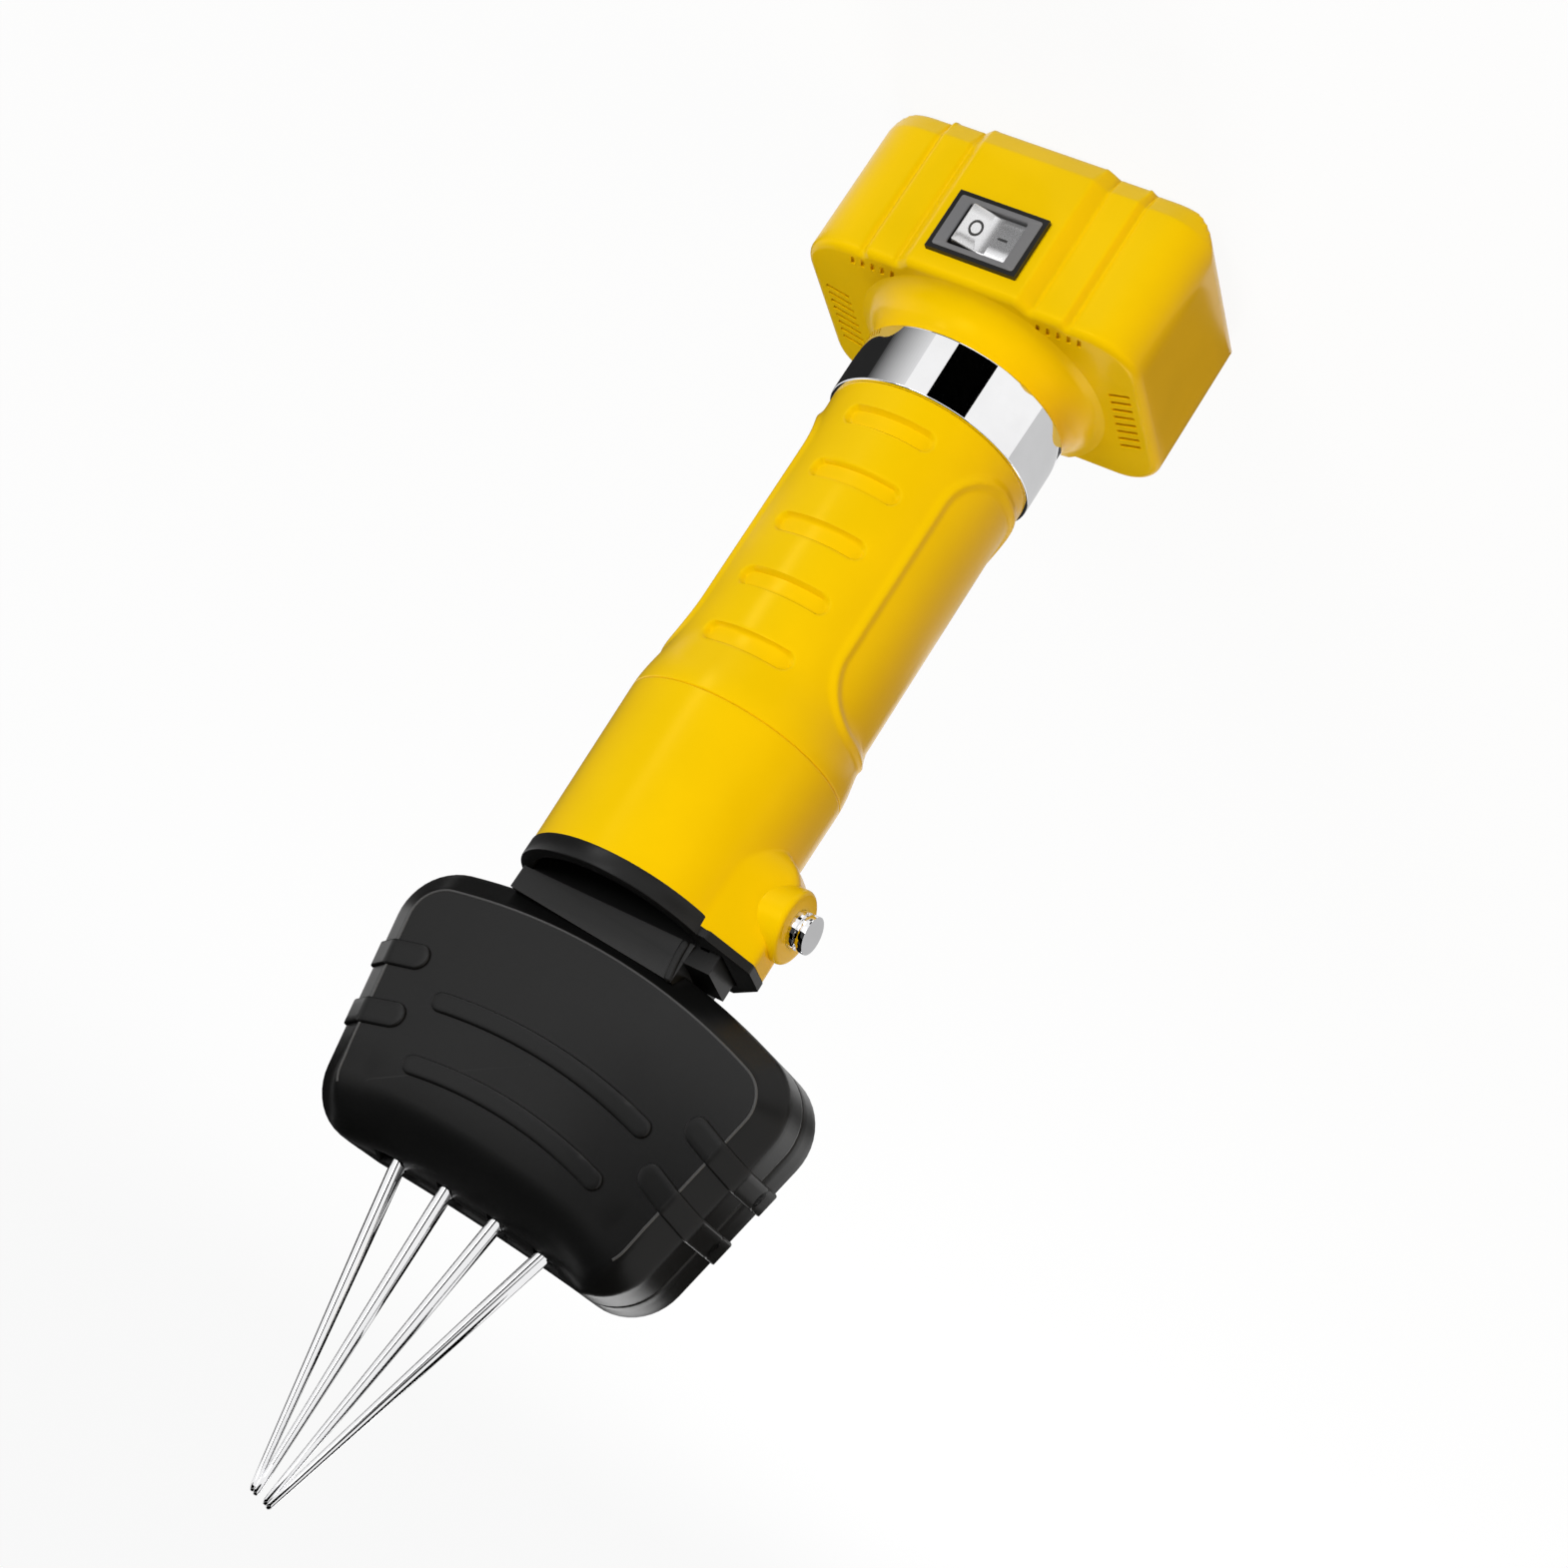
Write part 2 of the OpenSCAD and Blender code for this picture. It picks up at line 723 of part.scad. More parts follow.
module battery_lead() {
    top = cavity_z + tag_h;
    end = [spade_w, switch_back + spade_len / 2, switch_z - spade_t / 2];
    color([0.7, 0.1, 0.08]) lead([[blade_pitch, tag_y, top], [blade_pitch, tag_y, top + 3],
        [spade_w, end[1], top + 3], end]);
}

module switch_lead() {
    from = [-spade_w, switch_back + spade_len / 2, switch_z + spade_t / 2];
    color([0.7, 0.1, 0.08]) lead([from, [-spade_w, from[1], switch_z + 4], [-motor_tab_x, 0, foot_h],
        [-motor_tab_x, 0, motor_z - motor_tab_len]]);
}

module return_lead() {
    top = cavity_z + tag_h;
    color([0.08, 0.08, 0.08]) lead([[-blade_pitch, tag_y, top], [-blade_pitch, tag_y, top + 3],
        [0, 2, top + 8], [motor_tab_x, 0, foot_h], [motor_tab_x, 0, motor_z - motor_tab_len]]);
}

// Grip

module trim_ring() {
    color(chrome) translate([0, 0, trim_z]) tube(trim_r, spigot_r + seat_gap, trim_h);
}

barrel_screw_d = 2.4;
barrel_head_d = 4.6;
barrel_head_h = 1.5;
barrel_screw_angles = [40, 90, 140];
spigot_mid = 3.5;

// Radial screw places on the back half, with +Z pointing towards the handle axis
module barrel_screw_places(z) {
    for (a = barrel_screw_angles) translate([0, 0, z]) rotate([0, 0, a]) translate([grip_r, 0, 0])
        rotate([0, -90, 0]) children();
}

module thumb_slots() {
    first = grip_z + slot_h + 4;
    difference() {
        for (i = [0:slot_count - 1]) translate([0, -grip_r / 2, first + i * slot_pitch]) rotate([90, 0, 0])
            linear_extrude(grip_r)
                rounded_rect(-slot_w / 2, slot_w / 2, -slot_h / 2, slot_h / 2, slot_h / 2 - eps);
        cylinder(r = grip_r - slot_depth, h = far);
    }
}

module grip_panels() {
    half = grip_r * sin(43);
    corner = 8;
    difference() {
        for (side = [0, 1]) mirror([side, 0, 0]) translate([grip_r / 2, 0, 0]) rotate([90, 0, 90])
            linear_extrude(grip_r) rounded_rect(-half, half, grip_z + 5, housing_z - flare_len + 5, corner);
        cylinder(r = grip_r - panel_depth, h = far);
    }
}

module grip_barrel() {
    flare_z = housing_z - flare_len;
    outer = concat([[grip_r + 0.3, grip_z], [grip_r, grip_z + 12]],
        [for (i = [0:6]) let (t = i / 6) [grip_r + (flare_r - grip_r) * (1 - cos(180 * t)) / 2,
            flare_z + flare_len * t]]);
    bore = spigot_r + seat_gap;
    color(yellow) difference() {
        rotate_extrude() polygon(concat([[bore, grip_z]], outer, [[bore, housing_z]]));
        thumb_slots();
        grip_panels();
        for (z = [grip_z + spigot_len / 2, housing_z - spigot_mid]) barrel_screw_places(z) {
            translate([0, 0, -far])
                cylinder(d = barrel_head_d + 2 * run_gap, h = far + barrel_head_h + 0.1);
            cylinder(d = barrel_screw_d + 2 * run_gap, h = grip_wall + 2);
        }
    }
    color(yellow) for (z = [rib_low_z, rib_high_z])
        translate([0, 0, z]) tube(bore + eps, motor_r + run_gap, rib_len);
}

module barrel_screws() {
    color(steel) for (z = [grip_z + spigot_len / 2, housing_z - spigot_mid]) barrel_screw_places(z)
        translate([0, 0, barrel_head_h + 0.1])
            screw(barrel_screw_d, barrel_head_d, barrel_head_h, grip_wall);
}

// Motor

module motor_can() {
    h = motor_top - can_z;
    color(steel) translate([0, 0, can_z]) difference() {
        cylinder(r = motor_r, h = h);
        translate([0, 0, -eps]) cylinder(r = can_in_r, h = h - can_wall + eps);
        cylinder(r = bush_r, h = h + eps);
        for (x = [-motor_bolt_x, motor_bolt_x]) translate([x, 0, 0])
            cylinder(d = motor_bolt_d + 2 * run_gap, h = h + eps);
    }
}

module motor_end_cap() {
    color(black) translate([0, 0, motor_z]) tube(motor_r, bush_r, cap_h);
}

module motor_bushes() {
    r_in = motor_shaft_d / 2 + run_gap;
    color(brass) {
        translate([0, 0, motor_z + cap_h - bush_len]) tube(bush_r, r_in, bush_len);
        translate([0, 0, motor_top - bush_len]) tube(bush_r, r_in, bush_len);
    }
}

module motor_magnets() {
    color(graphite) difference() {
        translate([0, 0, magnet_z]) tube(can_in_r, can_in_r - magnet_t, magnet_len);
        for (side = [-1, 1]) translate([-4, side * far / 2 - far / 2, 0]) cube([8, far, far]);
    }
}

module motor_brushes() {
    r0 = commutator_r + brush_gap;
    color(graphite) for (side = [0, 1]) mirror([side, 0, 0])
        translate([r0, -brush_w / 2, can_z]) cube([brush_len, brush_w, brush_w]);
}

module motor_terminals() {
    color(brass) for (x = [-motor_tab_x, motor_tab_x])
        translate([x - 0.4, -1.5, motor_z - motor_tab_len]) cube([0.8, 3, motor_tab_len]);
}

module motor_screws() {
    head_h = 1.4;
    color(steel) for (x = [-motor_bolt_x, motor_bolt_x]) translate([x, 0, ring_z + back_plate_t])
        rotate([180, 0, 0]) screw(motor_bolt_d, 5, head_h, back_plate_t + can_wall);
}

module motor_armature() {
    pole_count = 5;
    slot = 3;
    color(copper) translate([0, 0, armature_z]) difference() {
        tube(armature_d / 2, motor_shaft_d / 2, armature_len);
        for (k = [0:pole_count - 1]) rotate([0, 0, 360 * k / pole_count])
            translate([armature_d / 2 - slot, -slot / 4, -eps])
                cube([2 * slot, slot / 2, armature_len + 2 * eps]);
    }
}

module motor_commutator() {
    color(brass) translate([0, 0, can_z + 0.5])
        tube(commutator_r, motor_shaft_d / 2, armature_z - can_z - 0.5);
}

module motor_shaft() {
    color(steel) translate([0, 0, motor_z + 2])
        cylinder(d = motor_shaft_d, h = teeth_z + gear_face - motor_z - 2);
}

// Planetary stage

module sun_gear() {
    color(steel) translate([0, 0, teeth_z]) gear(sun_teeth, planet_module, gear_face, motor_shaft_d / 2);
}

module ring_gear() {
    color(graphite) translate([0, 0, ring_z]) difference() {
        cylinder(r = ring_out_r, h = ring_len);
        translate([0, 0, back_plate_t]) rotate([0, 0, ring_phase]) linear_extrude(ring_len)
            polygon(gear_points(ring_teeth, planet_module, -flank_gap, tooth_root, tooth_tip));
        translate([0, 0, back_plate_t])
            cylinder(r = motor_bolt_x + 2.8, h = teeth_z - ring_z - back_plate_t - 0.2);
        translate([0, 0, -eps]) cylinder(r = bush_r + 1.5, h = ring_len);
        for (x = [-motor_bolt_x, motor_bolt_x]) translate([x, 0, -eps])
            cylinder(d = motor_bolt_d + 2 * run_gap, h = ring_len);
    }
}

module planet_gear(k) {
    a = 360 * k / planet_count;
    color(nylon) translate([planet_orbit * cos(a), planet_orbit * sin(a), teeth_z])
        rotate([0, 0, mesh_turn(a, planet_teeth, sun_teeth)])
        gear(planet_teeth, planet_module, gear_face, planet_pin_r + run_gap);
}

module planet_gear_1() { planet_gear(0); }
module planet_gear_2() { planet_gear(1); }
module planet_gear_3() { planet_gear(2); }

module planet_pin_places() {
    for (k = [0:planet_count - 1]) rotate([0, 0, 360 * k / planet_count])
        translate([planet_orbit, 0, 0]) children();
}

module planet_carrier() {
    color(steel) difference() {
        union() {
            translate([0, 0, carrier_z]) cylinder(r = carrier_r, h = carrier_t);
            translate([0, 0, carrier_z]) cylinder(r = shaft_r, h = plate_z + plate_t - carrier_z);
        }
        planet_pin_places() translate([0, 0, carrier_z - eps])
            cylinder(r = planet_pin_r, h = carrier_t + 2 * eps);
    }
}

module planet_pins() {
    color(chrome) planet_pin_places() translate([0, 0, teeth_z - 0.4])
        cylinder(r = planet_pin_r, h = carrier_z + carrier_t - teeth_z + 0.4);
}

// Transfer stage: two plates carry the output shaft and the head shaft

module shaft_places() {
    children();
    translate([head_shaft_at[0], head_shaft_at[1], 0]) children();
}

module pillar_places() {
    for (a = pillar_angles) rotate([0, 0, a]) translate([pillar_orbit, 0, 0]) children();
}

module gearbox_cover() {
    color(steel) translate([0, 0, cover_z]) difference() {
        cylinder(r = plate_r, h = cover_t);
        shaft_places() translate([0, 0, -eps]) cylinder(r = shaft_r + bush_wall, h = cover_t + 2 * eps);
        pillar_places() translate([0, 0, -eps]) cylinder(d = screw_d + 2 * run_gap, h = cover_t + 2 * eps);
    }
}

module bearing_plate() {
    pillar_h = plate_z - cover_z - cover_t;
    color(steel) difference() {
        union() {
            translate([0, 0, plate_z]) cylinder(r = plate_r, h = plate_t);
            pillar_places() translate([0, 0, cover_z + cover_t]) cylinder(r = pillar_r, h = pillar_h + eps);
            translate([-seat_out, -seat_r - seat_wall, plate_z])
                cube([seat_depth + seat_wall, 2 * (seat_r + seat_wall), button_z + seat_r + 1 - plate_z]);
        }
        shaft_places() translate([0, 0, plate_z - eps])
            cylinder(r = shaft_r + bush_wall, h = plate_t + 2 * eps);
        pillar_places() translate([0, 0, cover_z + cover_t - eps])
            cylinder(d = screw_d + 2 * run_gap, h = far);
        translate([-seat_out - eps, 0, button_z]) rotate([0, 90, 0]) cylinder(r = seat_r, h = seat_depth);
        lock_axis(far) cylinder(r = lock_collar_r + pass_gap, h = far - seat_out - eps);
    }
}

module plate_screws() {
    color(steel) pillar_places() translate([0, 0, plate_z + plate_t]) rotate([180, 0, 0])
        screw(screw_d, screw_head_d, screw_head_h, plate_z + plate_t - cover_z);
}

module shaft_bushes() {
    color(brass) shaft_places() {
        translate([0, 0, cover_z]) tube(shaft_r + bush_wall, shaft_r + run_gap, cover_t);
        translate([0, 0, plate_z]) tube(shaft_r + bush_wall, shaft_r + run_gap, plate_t);
    }
}

module output_gear() {
    color(steel) translate([0, 0, transfer_z])
        gear(transfer_teeth, transfer_module, transfer_face, shaft_r);
}

module head_gear() {
    color(nylon) translate([head_shaft_at[0], head_shaft_at[1], transfer_z])
        rotate([0, 0, mesh_turn(transfer_angle, transfer_teeth, transfer_teeth)])
        gear(transfer_teeth, transfer_module, transfer_face, shaft_r);
}

module head_shaft() {
    low = cover_z + 0.3;
    color(steel) translate([head_shaft_at[0], head_shaft_at[1], low])
        cylinder(r = shaft_r, h = cam_at[2] + cam_t / 2 + 1 - low);
}

module drive_cam() {
    flat = cam_long - cam_short;
    color(steel) translate([cam_at[0], cam_at[1], cam_at[2] - cam_t / 2]) difference() {
        linear_extrude(cam_t) {
            translate([-cam_short, -flat]) square([2 * cam_short, 2 * flat]);
            for (y = [-flat, flat]) translate([0, y]) circle(cam_short);
        }
        translate([0, 0, -eps]) cylinder(r = shaft_r, h = cam_t + 2 * eps);
    }
}

// Gear housing, nose ring and head lock

module lug_outline() {
    polygon([[0, -lug_w_base], [-grip_r, -lug_w_base + 1], [-lug_reach, -lug_w_tip],
        [-lug_reach, lug_w_tip],
        [-grip_r, lug_w_base - 1], [0, lug_w_base]]);
}

// The lug is round about the button at its grip end
module lug_form(top_z) {
    intersection() {
        translate([0, 0, lug_low_z]) linear_extrude(top_z - lug_low_z) lug_outline();
        union() {
            lock_axis(lug_reach + 1) cylinder(r = lug_w_base, h = lug_reach + 1);
            translate([-far / 2, -far / 2, button_z]) cube([far, far, far]);
        }
    }
}

module lock_axis(reach) {
    translate([-reach, 0, button_z]) rotate([0, 90, 0]) children();
}

module gear_housing() {
    bore = ring_out_r + seat_gap;
    tail_z = housing_z - 7 + 0.2;
    color(yellow) difference() {
        union() {
            rotate_extrude() polygon([[0, tail_z], [spigot_r, tail_z], [spigot_r, housing_z],
                [flare_r, housing_z],
                [housing_end_r, end_z], [0, end_z]]);
            lug_form(lug_end_z);
            lock_axis(boss_reach) cylinder(r = boss_r, h = boss_reach - grip_r);
        }
        translate([0, 0, tail_z - eps]) cylinder(r = bore, h = far);
        translate([0, 0, cover_z]) cylinder(r = housing_in_r, h = far);
        translate([0, 0, end_z]) cylinder(r = housing_end_r + seat_gap + 0.2, h = far);
        translate([-pocket_out, -pocket_half, button_z - pocket_half])
            cube([pocket_out - pocket_in, 2 * pocket_half, far]);
        lock_axis(boss_reach + eps)
            cylinder(d = button_d + 2 * run_gap, h = boss_reach - pocket_out + 2 * eps);
        barrel_screw_places(housing_z - spigot_mid)
            cylinder(d = barrel_screw_d + 2 * run_gap, h = grip_wall + 3);
    }
}

module nose_ring() {
    color(black) translate([0, 0, end_z]) difference() {
        union() {
            cylinder(r = housing_end_r + 0.2, h = nose_h);
            translate([0, 0, lug_end_z - end_z]) linear_extrude(nose_z - lug_end_z) lug_outline();
        }
        translate([0, 0, -eps]) cylinder(r = housing_in_r - 0.1, h = nose_h + 2 * eps);
        translate([-pocket_out, -pocket_half, -eps])
            cube([pocket_out - pocket_in, 2 * pocket_half, nose_h + 2 * eps]);
    }
}

module lock_button() {
    head_len = button_reach - collar_out - waist_len;
    color(chrome) difference() {
        union() {
            lock_axis(button_reach) cylinder(d = button_d, h = head_len);
            lock_axis(button_reach) cylinder(r = waist_r, h = button_reach - collar_out + eps);
            lock_axis(collar_out) cylinder(r = lock_collar_r, h = collar_len);
        }
        lock_axis(button_reach - 1.4) tube(button_d, button_d / 2 - groove_depth, groove_w);
    }
}

module lock_spring() {
    color(steel) lock_axis(spring_in) tube(spring_r, spring_r - spring_wall, spring_len);
}

// Head

module head_corners() {
    low = head_low - head_corner_r;
    high = head_corner_r - head_top + 5.5;
    side = sqrt(1 + head_taper * head_taper);
    for (s = [-1, 1]) {
        translate([s * (head_half_w - head_taper * low - head_corner_r * side), low]) children();
        translate([s * (head_half_w - head_taper * high - head_corner_r * side), high]) children();
    }
}

module head_outline(inset) {
    r = arch_r - inset;
    half = 12;
    hull() {
        head_corners() circle(head_corner_r - inset, $fn = 32);
        polygon([for (a = [-half:3:half]) [r * sin(a), arch_r - head_top - r * cos(a)]]);
    }
}

// Solid of the head from n0 to n1 with a bevel of the given width at one face
module head_form(inset, n0, n1, front_bevel, back_bevel) {
    skin = 0.2;
    hull() {
        slab(n0, n0 + skin) head_outline(inset + front_bevel);
        slab(n0 + front_bevel, n1 - back_bevel) head_outline(inset);
        slab(n1 - skin, n1) head_outline(inset + back_bevel);
    }
}

// Room under the rolled lower front edge
module rolled_edge(inset) {
    v0 = head_low - roll_r;
    r = roll_r - inset;
    rotate([90, 0, 90]) linear_extrude(far, center = true) {
        translate([inset, v0 - far]) square([far, far]);
        translate([roll_r, v0 - eps]) square([far, r + eps]);
        translate([roll_r, v0]) circle(r, $fn = 48);
    }
}

module neck_passage(gap) {
    translate([0, 0, neck_v - far + gap]) linear_extrude(far) polygon([
        [-neck_right_u - gap, neck_front_n - gap], [neck_left_u + gap, neck_front_n - gap],
        [neck_left_u + gap, neck_mid_n], [neck_back_u + gap, neck_back_n + gap],
        [-neck_right_u - gap, neck_back_n + gap]]);
}

module prong_exits() {
    depth = exit_room + 0.4;
    v0 = head_low - roll_r;
    for (s = [0, 1]) mirror([s, 0, 0]) {
        translate([outer_u - exit_room - 1, exit_n - depth, v0])
            cube([2 * exit_room + 1.4 + exit_swing, 2 * depth, far]);
        translate([inner_u - exit_room - 0.4, exit_n - depth, v0])
            cube([2 * exit_room + 1, 2 * depth, far]);
    }
}

module column_places() {
    for (c = columns, s = [-1, 1]) translate([s * c[0], 0, c[1]]) rotate([-90, 0, 0]) children();
}

module standoff_places() {
    for (c = standoffs, s = [-1, 1]) translate([s * c[0], 0, c[1]]) rotate([-90, 0, 0]) children();
}

// Raised arc rib, concentric with the arched edge
module arc_rib(v, half) {
    centre = arch_r - head_top;
    r = centre - v;
    a = asin(half / r);
    intersection() {
        translate([0, centre]) difference() {
            circle(r + rib_w / 2);
            circle(r - rib_w / 2);
        }
        polygon([[0, centre], [-2 * r * sin(a), centre - 2 * r * cos(a)],
            [2 * r * sin(a), centre - 2 * r * cos(a)]]);
    }
    for (s = [-1, 1]) translate([s * r * sin(a), centre - r * cos(a)]) circle(d = rib_w);
}

// Round-ended tabs on the face, which run out towards the sides
module face_tab_places() {
    for (side = [0, 1], t = face_tabs) mirror([side, 0]) translate(t) rotate(face_tab_tilt) children();
}

// Flat tab on the side
module side_tabs(n0, n1, out) {
    for (s = [0, 1], i = [0, 1]) mirror([s, 0, 0]) translate([0, 0, side_tab_v[i]])
        translate([side_tab_u[i], n0, -side_tab_w / 2])
        cube([head_half_w - head_taper * side_tab_v[i] + out - side_tab_u[i], n1 - n0, side_tab_w]);
}

module head_front_shell() {
    color(black) in_head() difference() {
        union() {
            difference() {
                intersection() {
                    head_form(0, 0, parting_n + head_bevel, head_bevel, 0);
                    rolled_edge(0);
                }
                intersection() {
                    head_form(head_wall, head_wall, parting_n + head_bevel, head_bevel, 0);
                    rolled_edge(head_wall);
                }
            }
            column_places() translate([0, 0, head_wall - eps])
                cylinder(r = column_r, h = parting_n - head_wall + eps, $fn = 32);
            slab(-rib_h, eps) {
                for (i = [0, 1]) arc_rib(rib_v[i], rib_half[i]);
            }
            slab(-rib_h, eps) face_tab_places() circle(d = side_tab_w);
            slab(-rib_h, eps) face_tab_places() translate([0, -side_tab_w / 2])
                square([face_tab_len, side_tab_w]);
        }
        translate([-far / 2, parting_n, -far / 2]) cube([far, far, far]);
        neck_passage(seat_gap);
        prong_exits();
        column_places() translate([0, 0, head_wall + 1]) cylinder(d = screw_d + 2 * run_gap, h = far);
    }
}

module head_rear_shell() {
    inner = head_depth - head_wall;
    color(black) in_head() difference() {
        union() {
            difference() {
                union() {
                    head_form(0, parting_n - head_bevel, head_depth, 0, head_bevel);
                    side_tabs(parting_n, head_depth - head_bevel, rib_h);
                }
                head_form(head_wall, parting_n - 2 * head_bevel, inner, 0, head_bevel);
            }
            column_places() translate([0, 0, parting_n])
                cylinder(r = column_r, h = inner - parting_n + eps, $fn = 32);
            standoff_places() translate([0, 0, frame_n + frame_t])
                cylinder(r = column_r, h = inner - frame_n - frame_t + eps, $fn = 32);
        }
        translate([-far / 2, parting_n - far, -far / 2]) cube([far, far, far]);
        neck_passage(seat_gap);
        prong_exits();
        column_places() {
            cylinder(d = screw_d + 2 * run_gap, h = far);
            translate([0, 0, head_depth - screw_head_h - 1])
                cylinder(d = screw_head_d + 2 * run_gap, h = far);
        }
        standoff_places() translate([0, 0, frame_n]) cylinder(d = screw_d + 2 * run_gap, h = frame_t + 4);
    }
}

module head_screws() {
    color(steel) in_head() column_places() translate([0, 0, head_depth - screw_head_h - 1])
        rotate([180, 0, 0])
        screw(screw_d, screw_head_d, screw_head_h, head_depth - head_wall - screw_head_h - 6.5);
}

module neck_bush() {
    color(brass) translate([head_shaft_at[0], head_shaft_at[1], nose_z - tongue_h])
        tube(shaft_r + bush_wall, shaft_r + run_gap, tongue_h);
}

module head_neck() {
    tongue_z = nose_z - tongue_h;
    block_z = nose_z + 0.2;
    ear_z = button_z - pocket_half + 0.5;
    ear_top = block_z + 4;
    color(black) difference() {
        union() {
            intersection() {
                translate([0, 0, tongue_z]) cylinder(r = housing_in_r - 0.3, h = block_z - tongue_z + eps);
                translate([-far / 2, head_y - 1.5, 0]) cube([far, far, 2 * far]);
            }
            intersection() {
                in_head() neck_passage(0);
                translate([-far / 2, -far / 2, block_z]) cube([far, far, far]);
            }
            in_head() translate([-flange_half_w, flange_n, neck_v + 1.7])
                cube([2 * flange_half_w, frame_n - flange_n - pass_gap, 3]);
            in_head() translate([-root_half_w, flange_n, neck_v - 1])
                cube([2 * root_half_w, frame_n - flange_n - pass_gap, 4]);
            translate([-ear_out, -ear_half, ear_z]) cube([ear_t, 2 * ear_half, ear_top - ear_z]);
            translate([-ear_out, -ear_half, block_z])
                cube([ear_out - ear_root, 2 * ear_half, ear_top - block_z]);
        }
        translate([head_shaft_at[0], head_shaft_at[1], 0]) cylinder(r = shaft_r + bush_wall, h = 2 * far);
        lock_axis(far / 2) cylinder(r = lock_collar_r + 0.3, h = far / 2 - pocket_in);
        translate([-far / 2, -waist_r - 0.3, ear_z - eps])
            cube([far / 2 - pocket_in, 2 * waist_r + 0.6, button_z - ear_z]);
    }
}

// Prong mechanism

module jaw_frame() {
    half = 28;
    v0 = -7;
    color(steel) in_head() difference() {
        slab(frame_n, frame_n + frame_t) rounded_rect(-half, half, v0, head_low - 7, 4);
        for (s = [-1, 1]) translate([s * pivot_u, frame_n - eps, pivot_v]) rotate([-90, 0, 0])
            cylinder(r = pivot_r, h = frame_t + 2 * eps);
        standoff_places() translate([0, 0, frame_n - eps])
            cylinder(d = screw_d + 2 * run_gap, h = frame_t + 2 * eps);
    }
}

module frame_screws() {
    color(steel) in_head() standoff_places() translate([0, 0, frame_n])
        screw(screw_d, screw_head_d, screw_head_h, frame_t + 3.5);
}

module jaw_pins() {
    pin_n = jaw_n - 1;
    color(chrome) in_head() for (s = [-1, 1]) translate([s * pivot_u, pin_n, pivot_v]) rotate([-90, 0, 0])
        cylinder(r = pivot_r, h = frame_n + frame_t - pin_n);
}

module jaw_springs() {
    from = jaw_n + jaw_t + 0.2;
    color(steel) in_head() for (s = [-1, 1]) translate([s * pivot_u, from, pivot_v]) rotate([-90, 0, 0])
        tube(pivot_boss_r - 0.6, pivot_boss_r - 1.6, frame_n - from);
}

// Many-sided press socket for the root of a prong
module prong_socket(exit_u, tip_u) {
    rod(prong_at(exit_u, tip_u, socket_v), prong_at(exit_u, tip_u, head_low), socket_r, socket_sides);
}

// One jaw on the +u side: pivot boss, follower edge beside the cam and prong socket
module jaw() {
    out = prong_at(outer_u, outer_tip_u, socket_v)[0];
    low = prong_at(outer_u, outer_tip_u, jaw_low_v)[0];
    grip = prong_d / 2 + 2.4;
    difference() {
        union() {
            translate([pivot_u, jaw_n, pivot_v]) rotate([-90, 0, 0]) cylinder(r = pivot_boss_r, h = jaw_t);
            slab(jaw_n, jaw_n + jaw_t) polygon([[pivot_u - pivot_boss_r + 0.6, pivot_v + 1],
                [follower_u, cam_v - cam_t], [follower_u, cam_v + cam_t], [out - grip, socket_v - 1],
                [low - grip, jaw_low_v], [low + grip, jaw_low_v], [out + grip, socket_v - 1],
                [pivot_u + pivot_boss_r - 0.6, pivot_v + 1]]);
        }
        translate([pivot_u, jaw_n - eps, pivot_v]) rotate([-90, 0, 0])
            cylinder(r = pivot_r + run_gap, h = jaw_t + 2 * eps);
        prong_socket(outer_u, outer_tip_u);
    }
}

// A straight shank, then a taper down to a rounded tip
module prong(exit_u, tip_u) {
    from = prong_at(exit_u, tip_u, socket_v);
    d = prong_at(exit_u, tip_u, tip_v) - from;
    shank = norm(prong_at(exit_u, tip_u, head_low + 4) - from);
    tip_r = tip_d / 2;
    nose = [for (a = [0:15:75]) [tip_r * cos(a), norm(d) + tip_r * sin(a)]];
    translate(from) rotate([0, acos(d[2] / norm(d)), atan2(d[1], d[0])])
        rotate_extrude() polygon(concat([[0, 0], [prong_d / 2, 0], [prong_d / 2, shank]], nose,
            [[0, norm(d) + tip_r * sin(75)]]));
}

module left_jaw() { color(steel) in_head() jaw(); }
module right_jaw() { color(steel) in_head() mirror([1, 0, 0]) jaw(); }
module left_outer_prong() { color(chrome) in_head() prong(outer_u, outer_tip_u); }
module right_outer_prong() { color(chrome) in_head() mirror([1, 0, 0]) prong(outer_u, outer_tip_u); }

module inner_prongs() {
    color(chrome) in_head() for (s = [0, 1]) mirror([s, 0, 0]) prong(inner_u, inner_tip_u);
}

module prong_block() {
    half = prong_at(inner_u, inner_tip_u, socket_v)[0] + prong_d / 2 + 2;
    n0 = jaw_n;
    color(graphite) in_head() difference() {
        translate([-half, n0, block_v]) cube([2 * half, frame_n - n0, jaw_low_v - block_v]);
        for (s = [0, 1]) mirror([s, 0, 0]) prong_socket(inner_u, inner_tip_u);
    }
}

base_housing();
grip_collar();
dock_plate();
terminal_block();
terminal_blades();
base_screws();
switch_bezel();
switch_rocker();
switch_terminals();
battery_lead();
switch_lead();
return_lead();
trim_ring();
grip_barrel();
barrel_screws();
motor_can();
motor_end_cap();
motor_magnets();
motor_bushes();
motor_brushes();
motor_terminals();
motor_screws();
motor_armature();
motor_commutator();
motor_shaft();
sun_gear();
ring_gear();
planet_gear_1();
planet_gear_2();
planet_gear_3();
planet_carrier();
planet_pins();
gearbox_cover();
bearing_plate();
plate_screws();
shaft_bushes();
output_gear();
head_gear();
head_shaft();
drive_cam();
gear_housing();
nose_ring();
lock_button();
lock_spring();
head_neck();
neck_bush();
head_front_shell();
head_rear_shell();
head_screws();
jaw_frame();
jaw_pins();
jaw_springs();
frame_screws();
left_jaw();
right_jaw();
left_outer_prong();
right_outer_prong();
prong_block();
inner_prongs();
